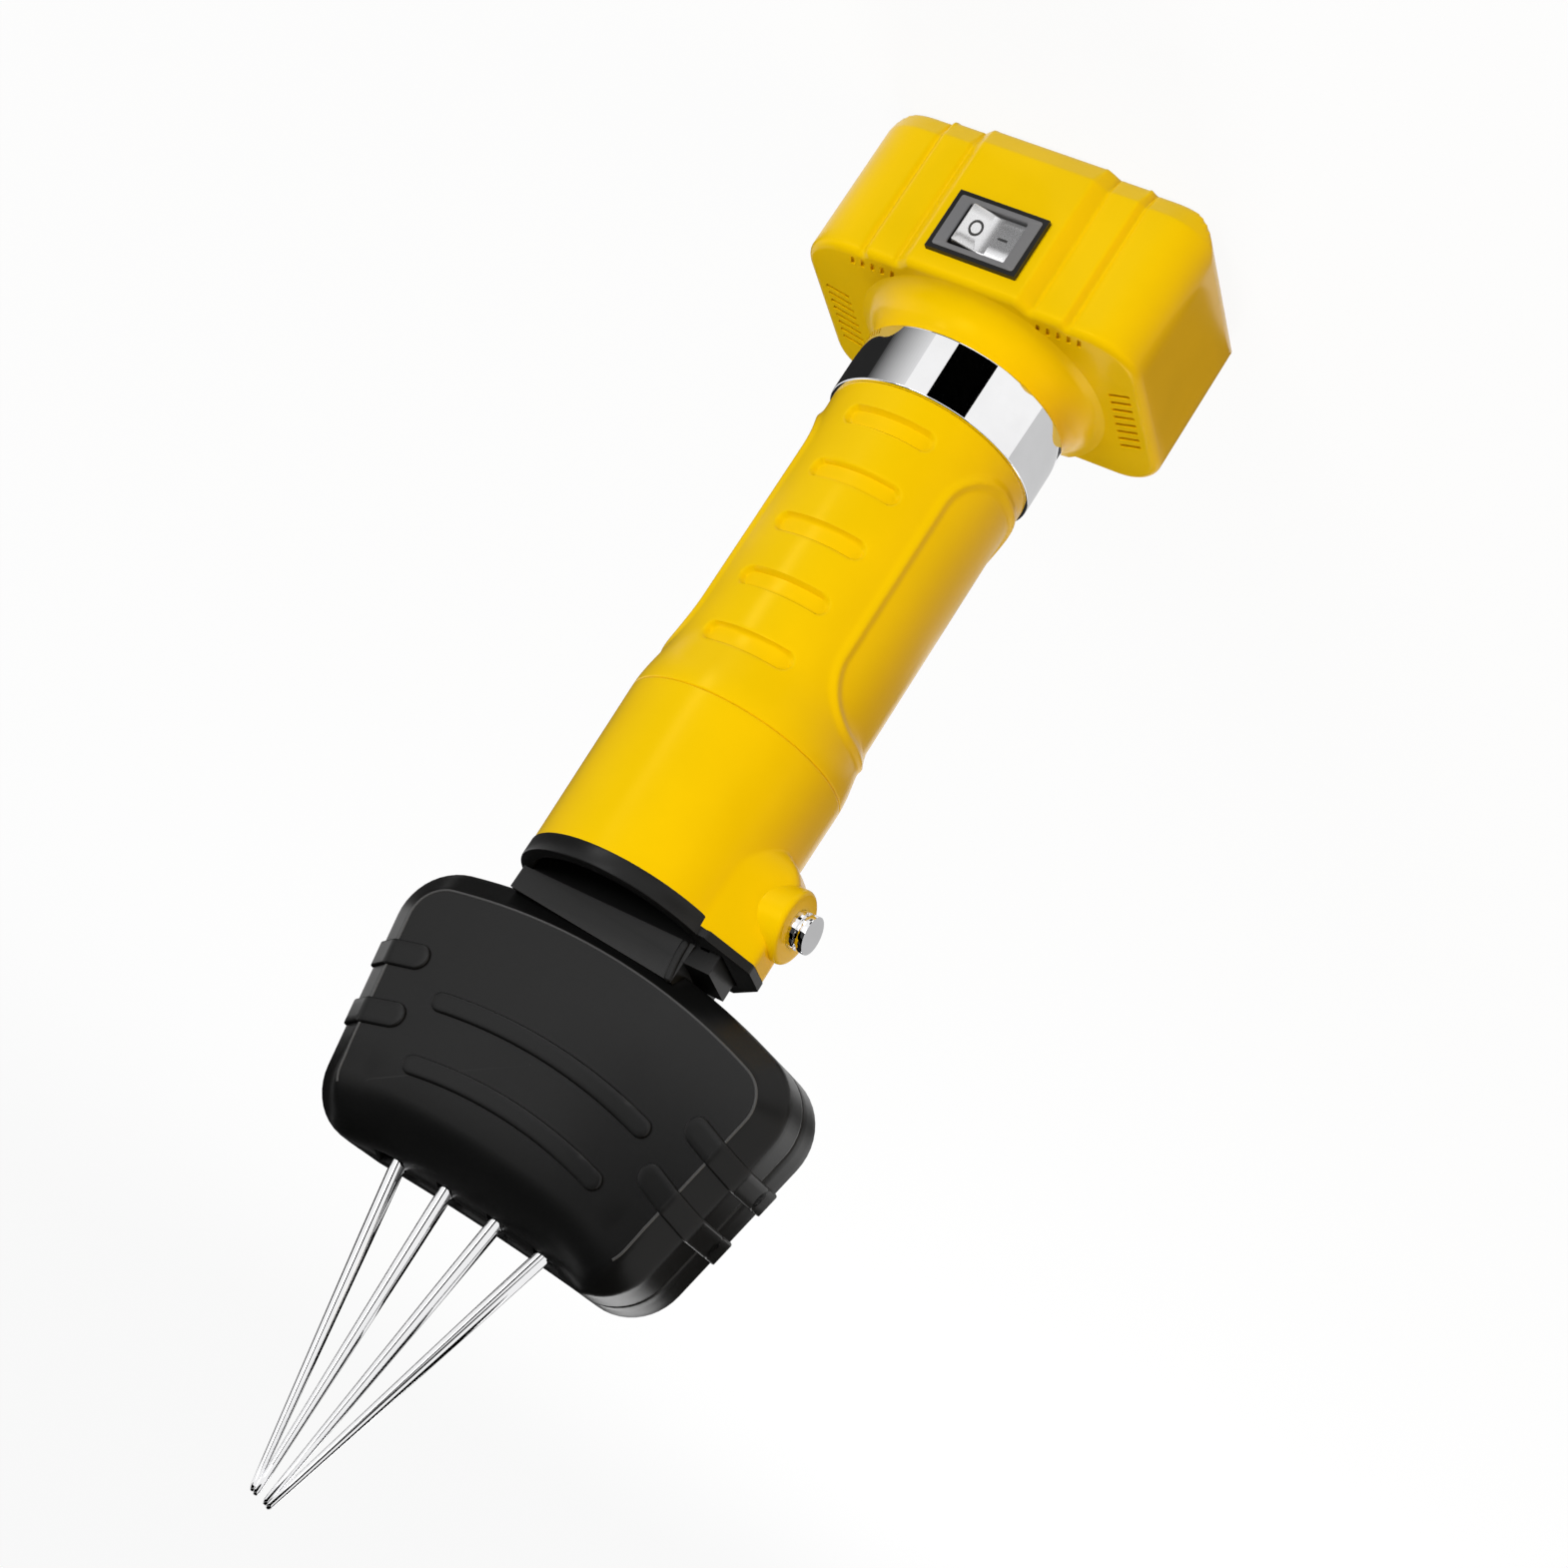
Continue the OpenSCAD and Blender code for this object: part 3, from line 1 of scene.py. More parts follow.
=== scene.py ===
"""Looks of a handheld cordless poultry plucker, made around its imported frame. Lengths are in metres."""

import json
import math

import bmesh
import bpy
from mathutils import Matrix, Vector


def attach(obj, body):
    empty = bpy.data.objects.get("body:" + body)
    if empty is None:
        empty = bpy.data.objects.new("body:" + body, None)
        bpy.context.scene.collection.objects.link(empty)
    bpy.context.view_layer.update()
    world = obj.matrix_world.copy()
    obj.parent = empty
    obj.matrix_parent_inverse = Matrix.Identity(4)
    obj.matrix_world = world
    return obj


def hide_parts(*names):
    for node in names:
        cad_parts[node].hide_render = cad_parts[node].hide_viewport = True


MM = 0.001

# Camera: a long lens that looks down on the switch side, turned so that the prongs point down the picture
LENS_MM = 85.0
SENSOR_MM = 36.0
CAMERA_AT = Vector((-312.66, -624.12, 373.87)) * MM
CAMERA_AZIMUTH = -25.642
CAMERA_ELEVATION = 18.655
CAMERA_ROLL = 147.345

# Head frame in millimetres: u across, n towards the back, v towards the prongs
HEAD_AT = Vector((-4.0, -4.5, 200.0))
HEAD_LEAN = math.radians(-8.2)
HEAD_SWAY = math.radians(5.1)
HEAD_TURN = Matrix.Rotation(HEAD_LEAN, 3, "X") @ Matrix.Rotation(HEAD_SWAY, 3, "Y")
HEAD_DEPTH = 28.0
PARTING_N = 14.0
PARTING_GAP = 0.15
WALL = 2.4
BEVEL = 5.0

# Outline of the head: arched edge, round corners, straight sides and a hollow prong edge
ARCH_R = 144.0
ARCH_V = 128.0
ARCH_END = 15.43
CORNER_R = 12.5
LEAST_CORNER_R = 0.3
TOP_CORNER = (34.97, 1.24)
LOW_CORNER = (28.85, 33.5)
SIDE_ANGLE = 100.76
HALF_W = 47.94
TAPER = 0.19
FRONT_HOLLOW = 1.75
REAR_HOLLOW = 0.6
HOLLOW_TURN = 4
ARC_POINTS = 14
CORNER_POINTS = 12
SIDE_STEPS = 12

# Roll of the front shell towards the prongs, half as deep at its two ends
ROLL_LEN = 15.0
ROLL_DEPTH = 12.6
ROLL_LOSS = 0.5
ROLL_FADE = (20.0, 36.0)
ROLL_BLEND = 1.0

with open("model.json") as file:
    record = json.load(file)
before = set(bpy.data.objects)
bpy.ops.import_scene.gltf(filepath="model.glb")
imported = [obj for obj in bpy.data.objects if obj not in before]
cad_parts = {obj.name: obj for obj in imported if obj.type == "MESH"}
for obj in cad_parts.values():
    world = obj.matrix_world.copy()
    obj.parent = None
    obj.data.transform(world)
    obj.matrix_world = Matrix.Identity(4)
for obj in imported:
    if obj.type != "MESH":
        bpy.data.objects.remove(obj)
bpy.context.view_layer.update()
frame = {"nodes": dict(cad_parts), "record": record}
NODES = frame["nodes"]


# Materials
CLOUD_SIZE = 18 * MM
CLOUD_SHADE = 0.95
SHADE_STOP = 0.3
COLOUR_STOP = 0.7
EDGE_STOPS = (0.52, 0.6)
# Lift of the edge colour: partly wear, partly a painted highlight along edges and creases
EDGE_LIFT_WEAR_AND_HIGHLIGHT = 0.25
ROUGH_SPREAD = 0.05
TINT_SIZE = 9 * MM
TINT_SHADE = 0.94
MARK_SIZE = 0.4 * MM
WHITE = (1, 1, 1, 1)


def shader_of(material):
    """The Principled shader of a material."""
    return material.node_tree.nodes["Principled BSDF"]


def new_material(name):
    """A Principled material with its node tree and shader."""
    material = bpy.data.materials.new(name)
    material.use_nodes = True
    return material, material.node_tree, shader_of(material)


def set_values(shader, values):
    """Set constant values on a shader's sockets."""
    for socket, value in values.items():
        shader.inputs[socket].default_value = value


def object_noise(tree, size, detail=3.0):
    """Noise with features of a given size, fixed to the object."""
    place = tree.nodes.new("ShaderNodeTexCoord")
    noise = tree.nodes.new("ShaderNodeTexNoise")
    noise.inputs["Scale"].default_value = 1.0 / size
    noise.inputs["Detail"].default_value = detail
    tree.links.new(place.outputs["Object"], noise.inputs["Vector"])
    return noise.outputs["Fac"]


def ramp(tree, source, stops):
    """Colour ramp over a value: stops are (position, colour)."""
    node = tree.nodes.new("ShaderNodeValToRGB")
    while len(node.color_ramp.elements) < len(stops):
        node.color_ramp.elements.new(0.5)
    for element, (position, colour) in zip(node.color_ramp.elements, stops):
        element.position = position
        element.color = (*colour, 1.0)
    tree.links.new(source, node.inputs["Fac"])
    return node.outputs["Color"]


def spread(tree, source, low, high):
    """Map a 0 to 1 value to a range."""
    node = tree.nodes.new("ShaderNodeMapRange")
    node.inputs["To Min"].default_value = low
    node.inputs["To Max"].default_value = high
    tree.links.new(source, node.inputs["Value"])
    return node.outputs["Result"]


def bump(tree, shader, source, height):
    """Fine relief of a given height."""
    node = tree.nodes.new("ShaderNodeBump")
    node.inputs["Distance"].default_value = height
    node.inputs["Strength"].default_value = 1.0
    tree.links.new(source, node.inputs["Height"])
    tree.links.new(node.outputs["Normal"], shader.inputs["Normal"])


def edge_wear_and_highlight(tree, wear_and_highlight):
    """How far edges are lightened, partly wear and partly a painted highlight: 0 on flat places and up to a
    share on edges.
    """
    edges = tree.nodes.new("ShaderNodeNewGeometry")
    stops = zip(EDGE_STOPS, ((0, 0, 0), (1, 1, 1)))
    rim = ramp(tree, edges.outputs["Pointiness"], list(stops))
    share = tree.nodes.new("ShaderNodeMath")
    share.operation = "MULTIPLY"
    share.inputs[1].default_value = wear_and_highlight
    tree.links.new(rim, share.inputs[0])
    return share.outputs[0]


def moulded_plastic(name, colour, rough, grain, grain_height, wear_and_highlight=0.06, gloss=0.5):
    """Moulded plastic: slight clouding of the colour, a fine grain and paler edges that are partly wear and
    partly a painted highlight.
    """
    material, tree, shader = new_material(name)
    cloud = object_noise(tree, CLOUD_SIZE)
    shade = tuple(c * CLOUD_SHADE for c in colour)
    mix = tree.nodes.new("ShaderNodeMix")
    mix.data_type = "RGBA"
    # Paler edge colour: partly wear, partly a painted highlight
    mix.inputs["B"].default_value = (*[min(1.0, c + EDGE_LIFT_WEAR_AND_HIGHLIGHT) for c in colour], 1.0)
    tree.links.new(edge_wear_and_highlight(tree, wear_and_highlight), mix.inputs["Factor"])
    body = ramp(tree, cloud, [(SHADE_STOP, shade), (COLOUR_STOP, colour)])
    tree.links.new(body, mix.inputs["A"])
    tree.links.new(mix.outputs["Result"], shader.inputs["Base Color"])
    shader.inputs["Specular IOR Level"].default_value = gloss
    varied = spread(tree, cloud, rough - ROUGH_SPREAD, rough + ROUGH_SPREAD)
    tree.links.new(varied, shader.inputs["Roughness"])
    bump(tree, shader, object_noise(tree, grain, 2.0), grain_height)
    return material


def metal(name, colour, rough):
    """Bare or plated metal with faint polishing marks."""
    material, tree, shader = new_material(name)
    shader.inputs["Metallic"].default_value = 1.0
    shade = tuple(c * TINT_SHADE for c in colour)
    tint = ramp(tree, object_noise(tree, TINT_SIZE), [(SHADE_STOP, shade), (COLOUR_STOP, colour)])
    tree.links.new(tint, shader.inputs["Base Color"])
    marks = object_noise(tree, MARK_SIZE, 4.0)
    tree.links.new(spread(tree, marks, rough * 0.7, rough * 1.4), shader.inputs["Roughness"])
    return material


yellow = moulded_plastic("yellow_shell", (0.9, 0.575, 0.0005), 0.24, 0.5 * MM, 0.003 * MM, 0.02, 0.6)
set_values(shader_of(yellow), {"Specular Tint": (1.0, 0.75, 0.08, 1.0), "IOR": 1.3})
black = moulded_plastic("black_moulding", (0.004, 0.004, 0.004), 0.34, 0.35 * MM, 0.008 * MM, 0.04, 0.25)
# Paler grey of the face bead: a painted highlight line along the crease
crease_highlight_grey = moulded_plastic("crease_highlight_grey", (0.045, 0.045, 0.045), 0.34, 0.35 * MM, 0.004 * MM, 0.04)
switch_grey = moulded_plastic("switch_grey", (0.16, 0.16, 0.165), 0.4, 0.3 * MM, 0.004 * MM)
# Black ink for the printed marks, also used as painted shade on the rocker's flanks
print_and_flank_shade_ink = moulded_plastic("mark_and_flank_shade_ink", (0.012, 0.012, 0.012), 0.5, 0.2 * MM, 0.002 * MM)
chrome = metal("chrome_plate", (0.93, 0.93, 0.94), 0.03)
silver = moulded_plastic("silver_plastic", (0.7, 0.7, 0.71), 0.25, 0.3 * MM, 0.002 * MM)
set_values(shader_of(silver), {"Metallic": 0.8})
FINISH = {
    "yellow_shell": yellow,
    "black_moulding": black,
    "chrome_plate": chrome,
    "silver_plastic": silver,
    "insulator": moulded_plastic("insulator", (0.12, 0.12, 0.125), 0.45, 0.3 * MM, 0.008 * MM),
    "contact_brass": metal("contact_brass", (0.72, 0.5, 0.2), 0.25),
    "zinc_steel": metal("zinc_steel", (0.6, 0.61, 0.63), 0.28),
    "dark_sinter": metal("dark_sinter", (0.16, 0.16, 0.17), 0.5),
    "nylon": moulded_plastic("nylon", (0.72, 0.72, 0.66), 0.4, 0.4 * MM, 0.004 * MM),
    "red_lead": moulded_plastic("red_lead", (0.5, 0.02, 0.015), 0.4, 0.4 * MM, 0.004 * MM),
    "black_lead": moulded_plastic("black_lead", (0.02, 0.02, 0.02), 0.4, 0.4 * MM, 0.004 * MM),
}

for subpart in frame["record"]["subparts"]:
    node = NODES[subpart["node"]]
    node.data.materials.clear()
    node.data.materials.append(FINISH[subpart["material_slot"]])


# Mesh making
MERGE = 0.003 * MM
WELD = 0.002 * MM


def tool_point(x, y, z):
    """A point of the tool in millimetres, as a place in metres."""
    return Vector((x, y, z)) * MM


def head_point(u, n, v):
    """A head-frame point in millimetres, as a place in metres."""
    return (HEAD_AT + HEAD_TURN @ Vector((u, n, v))) * MM


def clean(mesh, merge=0.0, face_out=True):
    """Merge points closer than a distance, and turn all faces outward."""
    work = bmesh.new()
    work.from_mesh(mesh)
    if merge > 0:
        bmesh.ops.remove_doubles(work, verts=work.verts, dist=merge)
    if face_out:
        bmesh.ops.recalc_face_normals(work, faces=work.faces)
    work.to_mesh(mesh)
    work.free()


def finish_mesh(mesh, material, sharp):
    """Material, smooth shading and sharp edges by angle."""
    mesh.materials.clear()
    mesh.materials.append(material)
    for face in mesh.polygons:
        face.use_smooth = True
    mesh.set_sharp_from_angle(angle=math.radians(sharp))


def new_object(name, data):
    """An object that holds a mesh, light or camera, put in the scene."""
    thing = bpy.data.objects.new(name, data)
    bpy.context.scene.collection.objects.link(thing)
    return thing


def new_mesh(name, points, faces):
    """A mesh from points and faces."""
    mesh = bpy.data.meshes.new(name)
    mesh.from_pydata(points, [], faces)
    return mesh


def add_piece(name, points, faces, material, body="housing", sharp=30.0):
    """A smooth-shaded piece that rides on a body."""
    mesh = new_mesh(name, points, faces)
    clean(mesh, MERGE)
    finish_mesh(mesh, material, sharp)
    piece = new_object(name, mesh)
    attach(piece, body)
    return piece


def loft(rings, closed_ends=True):
    """Quads between rings of equal length, each a closed loop, with a face at each end."""
    size = len(rings[0])
    points = [p for ring in rings for p in ring]
    faces = []
    for k in range(len(rings) - 1):
        for i in range(size):
            j = (i + 1) % size
            faces.append((k * size + i, k * size + j, (k + 1) * size + j, (k + 1) * size + i))
    if closed_ends:
        faces.append(tuple(range(size)))
        faces.append(tuple(reversed(range((len(rings) - 1) * size, len(rings) * size))))
    return points, faces


def round_loft(rings):
    """Quads between rings, with the last joined to the first."""
    return loft(rings + rings[:1], closed_ends=False)


def cut(piece, cutters):
    """Cut closed meshes out of a piece."""
    for points, faces in cutters:
        mesh = new_mesh("cutter", points, faces)
        clean(mesh)
        tool = new_object("cutter", mesh)
        change = piece.modifiers.new("cut", "BOOLEAN")
        change.operation = "DIFFERENCE"
        change.solver = "EXACT"
        change.object = tool
        bpy.context.view_layer.update()
        changed = piece.evaluated_get(bpy.context.evaluated_depsgraph_get())
        result = bpy.data.meshes.new_from_object(changed)
        piece.modifiers.clear()
        piece.data = result
        bpy.data.objects.remove(tool)


def soften(obj, width, angle=35.0, segments=3):
    """Round hard edges with modifiers, leaving the mesh as it is."""
    weld = obj.modifiers.new("weld", "WELD")
    weld.merge_threshold = WELD
    bevel = obj.modifiers.new("round", "BEVEL")
    bevel.width = width
    bevel.segments = segments
    bevel.limit_method = "ANGLE"
    bevel.angle_limit = math.radians(angle)
    bevel.harden_normals = True
    bevel.use_clamp_overlap = True


def prism(outline, low, high, place):
    """Closed prism from an outline of pairs, between two levels."""
    return loft([[place(a, b, level) for a, b in outline] for level in (low, high)])


def box_outline(a0, a1, b0, b1):
    """Corners of a rectangle."""
    return [(a0, b0), (a1, b0), (a1, b1), (a0, b1)]


def round_angles(count):
    """Even angles around a circle."""
    return [math.tau * i / count for i in range(count)]


def even(low, high, count):
    """Even places from one value to another."""
    return [low + (high - low) * i / (count - 1) for i in range(count)]


def arc(centre, radius, start, end, count):
    """Points about a centre; the angle runs from the arched edge over the side to the prong edge."""
    angles = [math.radians(a) for a in even(start, end, count)]
    return [(centre[0] + radius * math.sin(a), centre[1] - radius * math.cos(a)) for a in angles]


def with_mirror(half):
    """Closed outline from its half, which starts and ends on the middle line."""
    return half + [(-a, b) for a, b in reversed(half[1:-1])]


def smooth_step(edge0, edge1, value):
    """Smooth step from 0 to 1."""
    t = min(max((value - edge0) / (edge1 - edge0), 0.0), 1.0)
    return t * t * (3 - 2 * t)


def soft_max(a, b, blend):
    """The larger of two levels, rounded where they cross."""
    h = max(blend - abs(a - b), 0.0) / blend
    return max(a, b) + h * h * blend / 4


# Head shells
def low_arc(hollow):
    """End angle of the lower corner, and radius and centre of the hollow prong edge."""
    turn = HOLLOW_TURN * hollow
    angle = math.radians(turn)
    reach = LOW_CORNER[0] - CORNER_R * math.sin(angle)
    radius = reach / math.sin(angle)
    return 180 + turn, radius, LOW_CORNER[1] + CORNER_R * math.cos(angle) + radius * math.cos(angle)


def head_outline(inset, hollow):
    """Closed outline in (u, v), drawn in by an inset."""
    corner = max(CORNER_R - inset, LEAST_CORNER_R)
    end, low_r, low_v = low_arc(hollow)
    half = arc((0, ARCH_V), ARCH_R - inset, 0, ARCH_END, ARC_POINTS)
    half += arc(TOP_CORNER, corner, ARCH_END, SIDE_ANGLE, CORNER_POINTS)[1:]
    low = arc(LOW_CORNER, corner, SIDE_ANGLE, end, CORNER_POINTS)
    (u0, v0), (u1, v1) = half[-1], low[0]
    shares = [i / SIDE_STEPS for i in range(1, SIDE_STEPS)]
    half += [(u0 + (u1 - u0) * t, v0 + (v1 - v0) * t) for t in shares]
    half += low
    start = math.degrees(math.asin(low[-1][0] / (low_r + inset)))
    half += arc((0, low_v), low_r + inset, start, 0, ARC_POINTS)[1:]
    return with_mirror(half)


def front_edge(u):
    """Place along v of the front shell's prong edge at a width u."""
    _, low_r, low_v = low_arc(FRONT_HOLLOW)
    return low_v - math.sqrt(low_r ** 2 - min(abs(u), LOW_CORNER[0]) ** 2)


def front_level(u, v, n, wall=0.0):
    """Level of the front shell: its profile, or the roll towards the prongs where that is deeper."""
    reach = front_edge(u) - v
    if reach >= ROLL_LEN:
        return n
    k = min(1.0, 1 - reach / ROLL_LEN)
    depth = ROLL_DEPTH * (1 - ROLL_LOSS * smooth_step(*ROLL_FADE, abs(u)))
    roll = depth * (1 - math.sqrt(1 - k * k)) + wall
    return soft_max(n, roll, ROLL_BLEND)


# Profiles of the shells in order: insets of the flat face, (inset, depth) of the bend and the bevel's slope,
# the bevel's round edge counted back from its depth, levels of the side, lip at the parting line and inside
MIDDLE_V = 14.0
FACE_SCALES = [0.06, 0.3, 0.52, 0.72, 0.88]
FACE_INSET = 12.0
FRONT_FACE = [FACE_INSET, 10.8, 9.6, 8.4, 7.2, 6.2, 5.6]
REAR_FACE = [FACE_INSET, 9.0, 7.0, 5.6]
BEND = [(5.3, 0.0), (5.06, 0.05), (4.8, 0.22)]
FRONT_SLOPE = [(4.0, 1.0), (2.8, 2.2), (1.6, 3.4)]
REAR_SLOPE = [(2.8, 2.2)]
EDGE = [(0.586, 0.586), (0.268, 0.17), (0.068, -0.31), (0.0, -0.83)]
FRONT_SIDE = [7.4, 9.5, 11.5, 12.9, 13.4]
REAR_SIDE = [20.0, 17.0, 14.7]
FRONT_LIP = [(0.1, 13.65), (0.35, 13.85), (WALL, 13.85)]
REAR_LIP = [(0.1, 14.4), (0.35, 14.15), (WALL, 14.15)]
FRONT_INSIDE = [(WALL, 12.0), (WALL, 9.0), (WALL + 0.2, 6.4), (WALL + 2.0, 4.6), (WALL + 4.0, WALL),
                (9.0, WALL), (FACE_INSET, WALL)]
REAR_INSIDE = [(WALL, 21.0), (WALL + 0.2, 22.6), (WALL + 4.0, HEAD_DEPTH - WALL),
               (FACE_INSET, HEAD_DEPTH - WALL)]


def face_rings(hollow):
    """Outlines that lead from the middle of a face to its edge."""
    outline = head_outline(FACE_INSET, hollow)
    return [[(u * scale, MIDDLE_V + (v - MIDDLE_V) * scale) for u, v in outline] for scale in FACE_SCALES]


def front_shell():
    """Front half of the head, with the roll towards the prongs."""
    rings = []

    def add(outline, n, wall=0.0):
        levels = [min(front_level(u, v, n, wall), PARTING_N - PARTING_GAP) for u, v in outline]
        rings.append([head_point(u, level, v) for (u, v), level in zip(outline, levels)])

    outside = [(inset, 0.0) for inset in FRONT_FACE] + BEND + FRONT_SLOPE
    outside += [(inset, BEVEL - rise) for inset, rise in EDGE]
    outside += [(0.0, n) for n in FRONT_SIDE] + FRONT_LIP
    for outline in face_rings(FRONT_HOLLOW):
        add(outline, 0.0)
    for inset, n in outside:
        add(head_outline(inset, FRONT_HOLLOW), n)
    for inset, n in FRONT_INSIDE:
        add(head_outline(inset, FRONT_HOLLOW), n, WALL)
    for outline in reversed(face_rings(FRONT_HOLLOW)):
        add(outline, WALL, WALL)
    return add_piece("front_shell", *loft(rings), black)


def rear_shell():
    """Rear half of the head, with a flat back."""
    rings = []

    def add(outline, n):
        rings.append([head_point(u, n, v) for u, v in outline])

    profile = [(inset, HEAD_DEPTH) for inset in REAR_FACE]
    profile += [(inset, HEAD_DEPTH - rise) for inset, rise in BEND + REAR_SLOPE]
    profile += [(inset, HEAD_DEPTH - BEVEL + rise) for inset, rise in EDGE]
    profile += [(0.0, n) for n in REAR_SIDE] + REAR_LIP + REAR_INSIDE
    for outline in face_rings(REAR_HOLLOW):
        add(outline, HEAD_DEPTH)
    for inset, n in profile:
        add(head_outline(inset, REAR_HOLLOW), n)
    for outline in reversed(face_rings(REAR_HOLLOW)):
        add(outline, HEAD_DEPTH - WALL)
    return add_piece("rear_shell", *loft(rings), black)


# Raised ribs, tabs and bead on the head
RELIEF = 0.7
RIBS = [(11.2, 25.4), (24.6, 23.0)]
RIB_HALF_W = 2.1
TABS = [((35.3, 8.9), 12.2), ((32.6, 21.0), 24.6)]
TAB_HALF_W = 2.75
TAB_BEND = [(5.35, 0.0), (5.06, 0.06), (4.8, 0.22)]
TAB_END_N = 16.2
REAR_TAB = [(0.0, 18.2), (0.0, 22.17), (0.068, 22.69), (0.268, 23.17), (0.586, 23.586), (2.0, 25.0)]
PILL_ROOT = 0.25
PILL_END_STEPS = 12
PILL_MERGE = 0.03 * MM
BEAD = [(5.5, 0.15), (5.46, -0.04), (5.34, -0.11), (5.2, -0.13), (5.06, -0.1), (4.94, 0.0), (4.9, 0.4)]
BEAD_POINTS = 40


def pill(name, length, half_w, height, place, steps=40):
    """A raised black strip with round ends: place(along, across, height) gives its points."""
    section = [(0.0, -PILL_ROOT), (0.0, 0.12 * height), (0.08, 0.6 * height), (0.22, 0.92 * height),
               (0.45, height), (half_w * 0.6, height), (half_w - 0.01, height)]
    turns = [math.pi * i / PILL_END_STEPS for i in range(1, PILL_END_STEPS)]
    rings = []
    for inset, h in section:
        r = half_w - inset
        ring = [(length * i / steps, r) for i in range(steps + 1)]
        ring += [(length + r * math.sin(a), r * math.cos(a)) for a in turns]
        ring += [(length * (1 - i / steps), -r) for i in range(steps + 1)]
        ring += [(-r * math.sin(a), -r * math.cos(a)) for a in turns]
        rings.append([place(s, w, h) for s, w in ring])
    piece = add_piece(name, *loft(rings, closed_ends=False), black, sharp=50.0)
    clean(piece.data, PILL_MERGE, face_out=False)


def head_ribs():
    """Two curved ribs across the face."""
    for i, (v, half) in enumerate(RIBS):
        radius = ARCH_V - v

        def place(s, w, h):
            a = (s - half) / radius
            u, at_v = (radius + w) * math.sin(a), ARCH_V - (radius + w) * math.cos(a)
            return head_point(u, front_level(u, at_v, 0.0) - h, at_v)

        pill(f"face_rib_{i + 1}", 2 * half, RIB_HALF_W, RELIEF, place)


def profile_walk(points):
    """Place and outward normal along an (inset, level) profile, by distance."""
    marks = [0.0]
    for a, b in zip(points, points[1:]):
        marks.append(marks[-1] + math.dist(a, b))

    def at(s):
        k = 0
        while k < len(points) - 2 and s > marks[k + 1]:
            k += 1
        (a, b), (c, d) = points[k], points[k + 1]
        size = marks[k + 1] - marks[k]
        t = (s - marks[k]) / size
        return a + (c - a) * t, b + (d - b) * t, ((b - d) / size, (c - a) / size)

    return at, marks[-1]


def side_tabs():
    """Tabs that start round on the face, cross the bevel and end on the rear shell."""
    beta = math.radians(SIDE_ANGLE - 90)
    along = (-math.sin(beta), math.cos(beta))
    edge = [(inset, BEVEL - rise) for inset, rise in EDGE]
    for i, ((tip_u, tip_v), rim_v) in enumerate(TABS):
        rim_u = HALF_W - TAPER * rim_v
        tip_inset = (rim_u - tip_u) * math.cos(beta) + (rim_v - tip_v) * math.sin(beta)
        inward = ((tip_u - rim_u) / tip_inset, (tip_v - rim_v) / tip_inset)
        profiles = {"front": [(tip_inset, 0.0), *TAB_BEND, *edge, (0.0, TAB_END_N)], "rear": REAR_TAB}
        for side, hand in ((-1, "right"), (1, "left")):
            for label, points in profiles.items():
                at, length = profile_walk(points)

                def place(s, w, h):
                    inset, n, out = at(s)
                    inset, n = inset + out[0] * h, n + out[1] * h
                    u = rim_u + inward[0] * inset + along[0] * w
                    v = rim_v + inward[1] * inset + along[1] * w
                    return head_point(side * u, n, v)

                pill(f"{label}_tab_{i + 1}_{hand}", length, TAB_HALF_W, RELIEF, place, steps=60)


def face_line():
    """Fine bead along the edge of the face, over the arch and down both sides; its paler grey is a painted
    highlight line along the crease.
    """
    rails = []
    for inset, n in BEAD:
        half = head_outline(inset, FRONT_HOLLOW)[:BEAD_POINTS]
        line = [(-u, v) for u, v in reversed(half[1:])] + half
        rails.append([head_point(u, front_level(u, v, 0.0) + n, v) for u, v in line])
    add_piece("face_line", *loft([list(ring) for ring in zip(*rails)]), crease_highlight_grey, sharp=60)


# Openings in the head: the way for the neck, the prong slots and the screw holes at the back
NECK_OUTLINE = [(-13.1, 0.7), (27.6, 0.7), (27.6, 9.0), (18.1, 22.1), (-13.1, 22.1)]
NECK_WAY_V = (-40, -12.5)
PRONG_SLOTS = ((16.6, 23.4), (4.5, 8.3))
PRONG_SLOT_N = (7.8, 12.2)
PRONG_SLOT_V = (36, 60)
HEAD_SCREWS = ((36, 4), (31.7, 27))
HEAD_SCREW_R = 2.9
HEAD_SCREW_N = (24.0, 30.0)


def prong_slots():
    """Cutters for the slots that the prongs leave through."""
    cutters = []
    for side in (-1, 1):
        for inner, outer in PRONG_SLOTS:
            low, high = sorted((side * inner, side * outer))
            cutters.append(prism(box_outline(low, high, *PRONG_SLOT_N), *PRONG_SLOT_V, head_point))
    return cutters


def screw_holes():
    """Cutters for the screw holes in the back of the head."""
    cutters = []
    for side in (-1, 1):
        for u, v in HEAD_SCREWS:
            ring = [(side * u + HEAD_SCREW_R * math.cos(a), v + HEAD_SCREW_R * math.sin(a))
                    for a in round_angles(32)]
            cutters.append(prism(ring, *HEAD_SCREW_N, lambda a, b, n: head_point(a, n, b)))
    return cutters


def head():
    """Both shells with their openings, and the relief on them."""
    neck_way = prism(NECK_OUTLINE, *NECK_WAY_V, head_point)
    front = front_shell()
    cut(front, [neck_way, *prong_slots()])
    finish_mesh(front.data, black, sharp=32)
    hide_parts("head_front_shell")
    rear = rear_shell()
    cut(rear, [neck_way, *screw_holes()])
    finish_mesh(rear.data, black, sharp=32)
    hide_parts("head_rear_shell")
    head_ribs()
    side_tabs()
    face_line()


head()

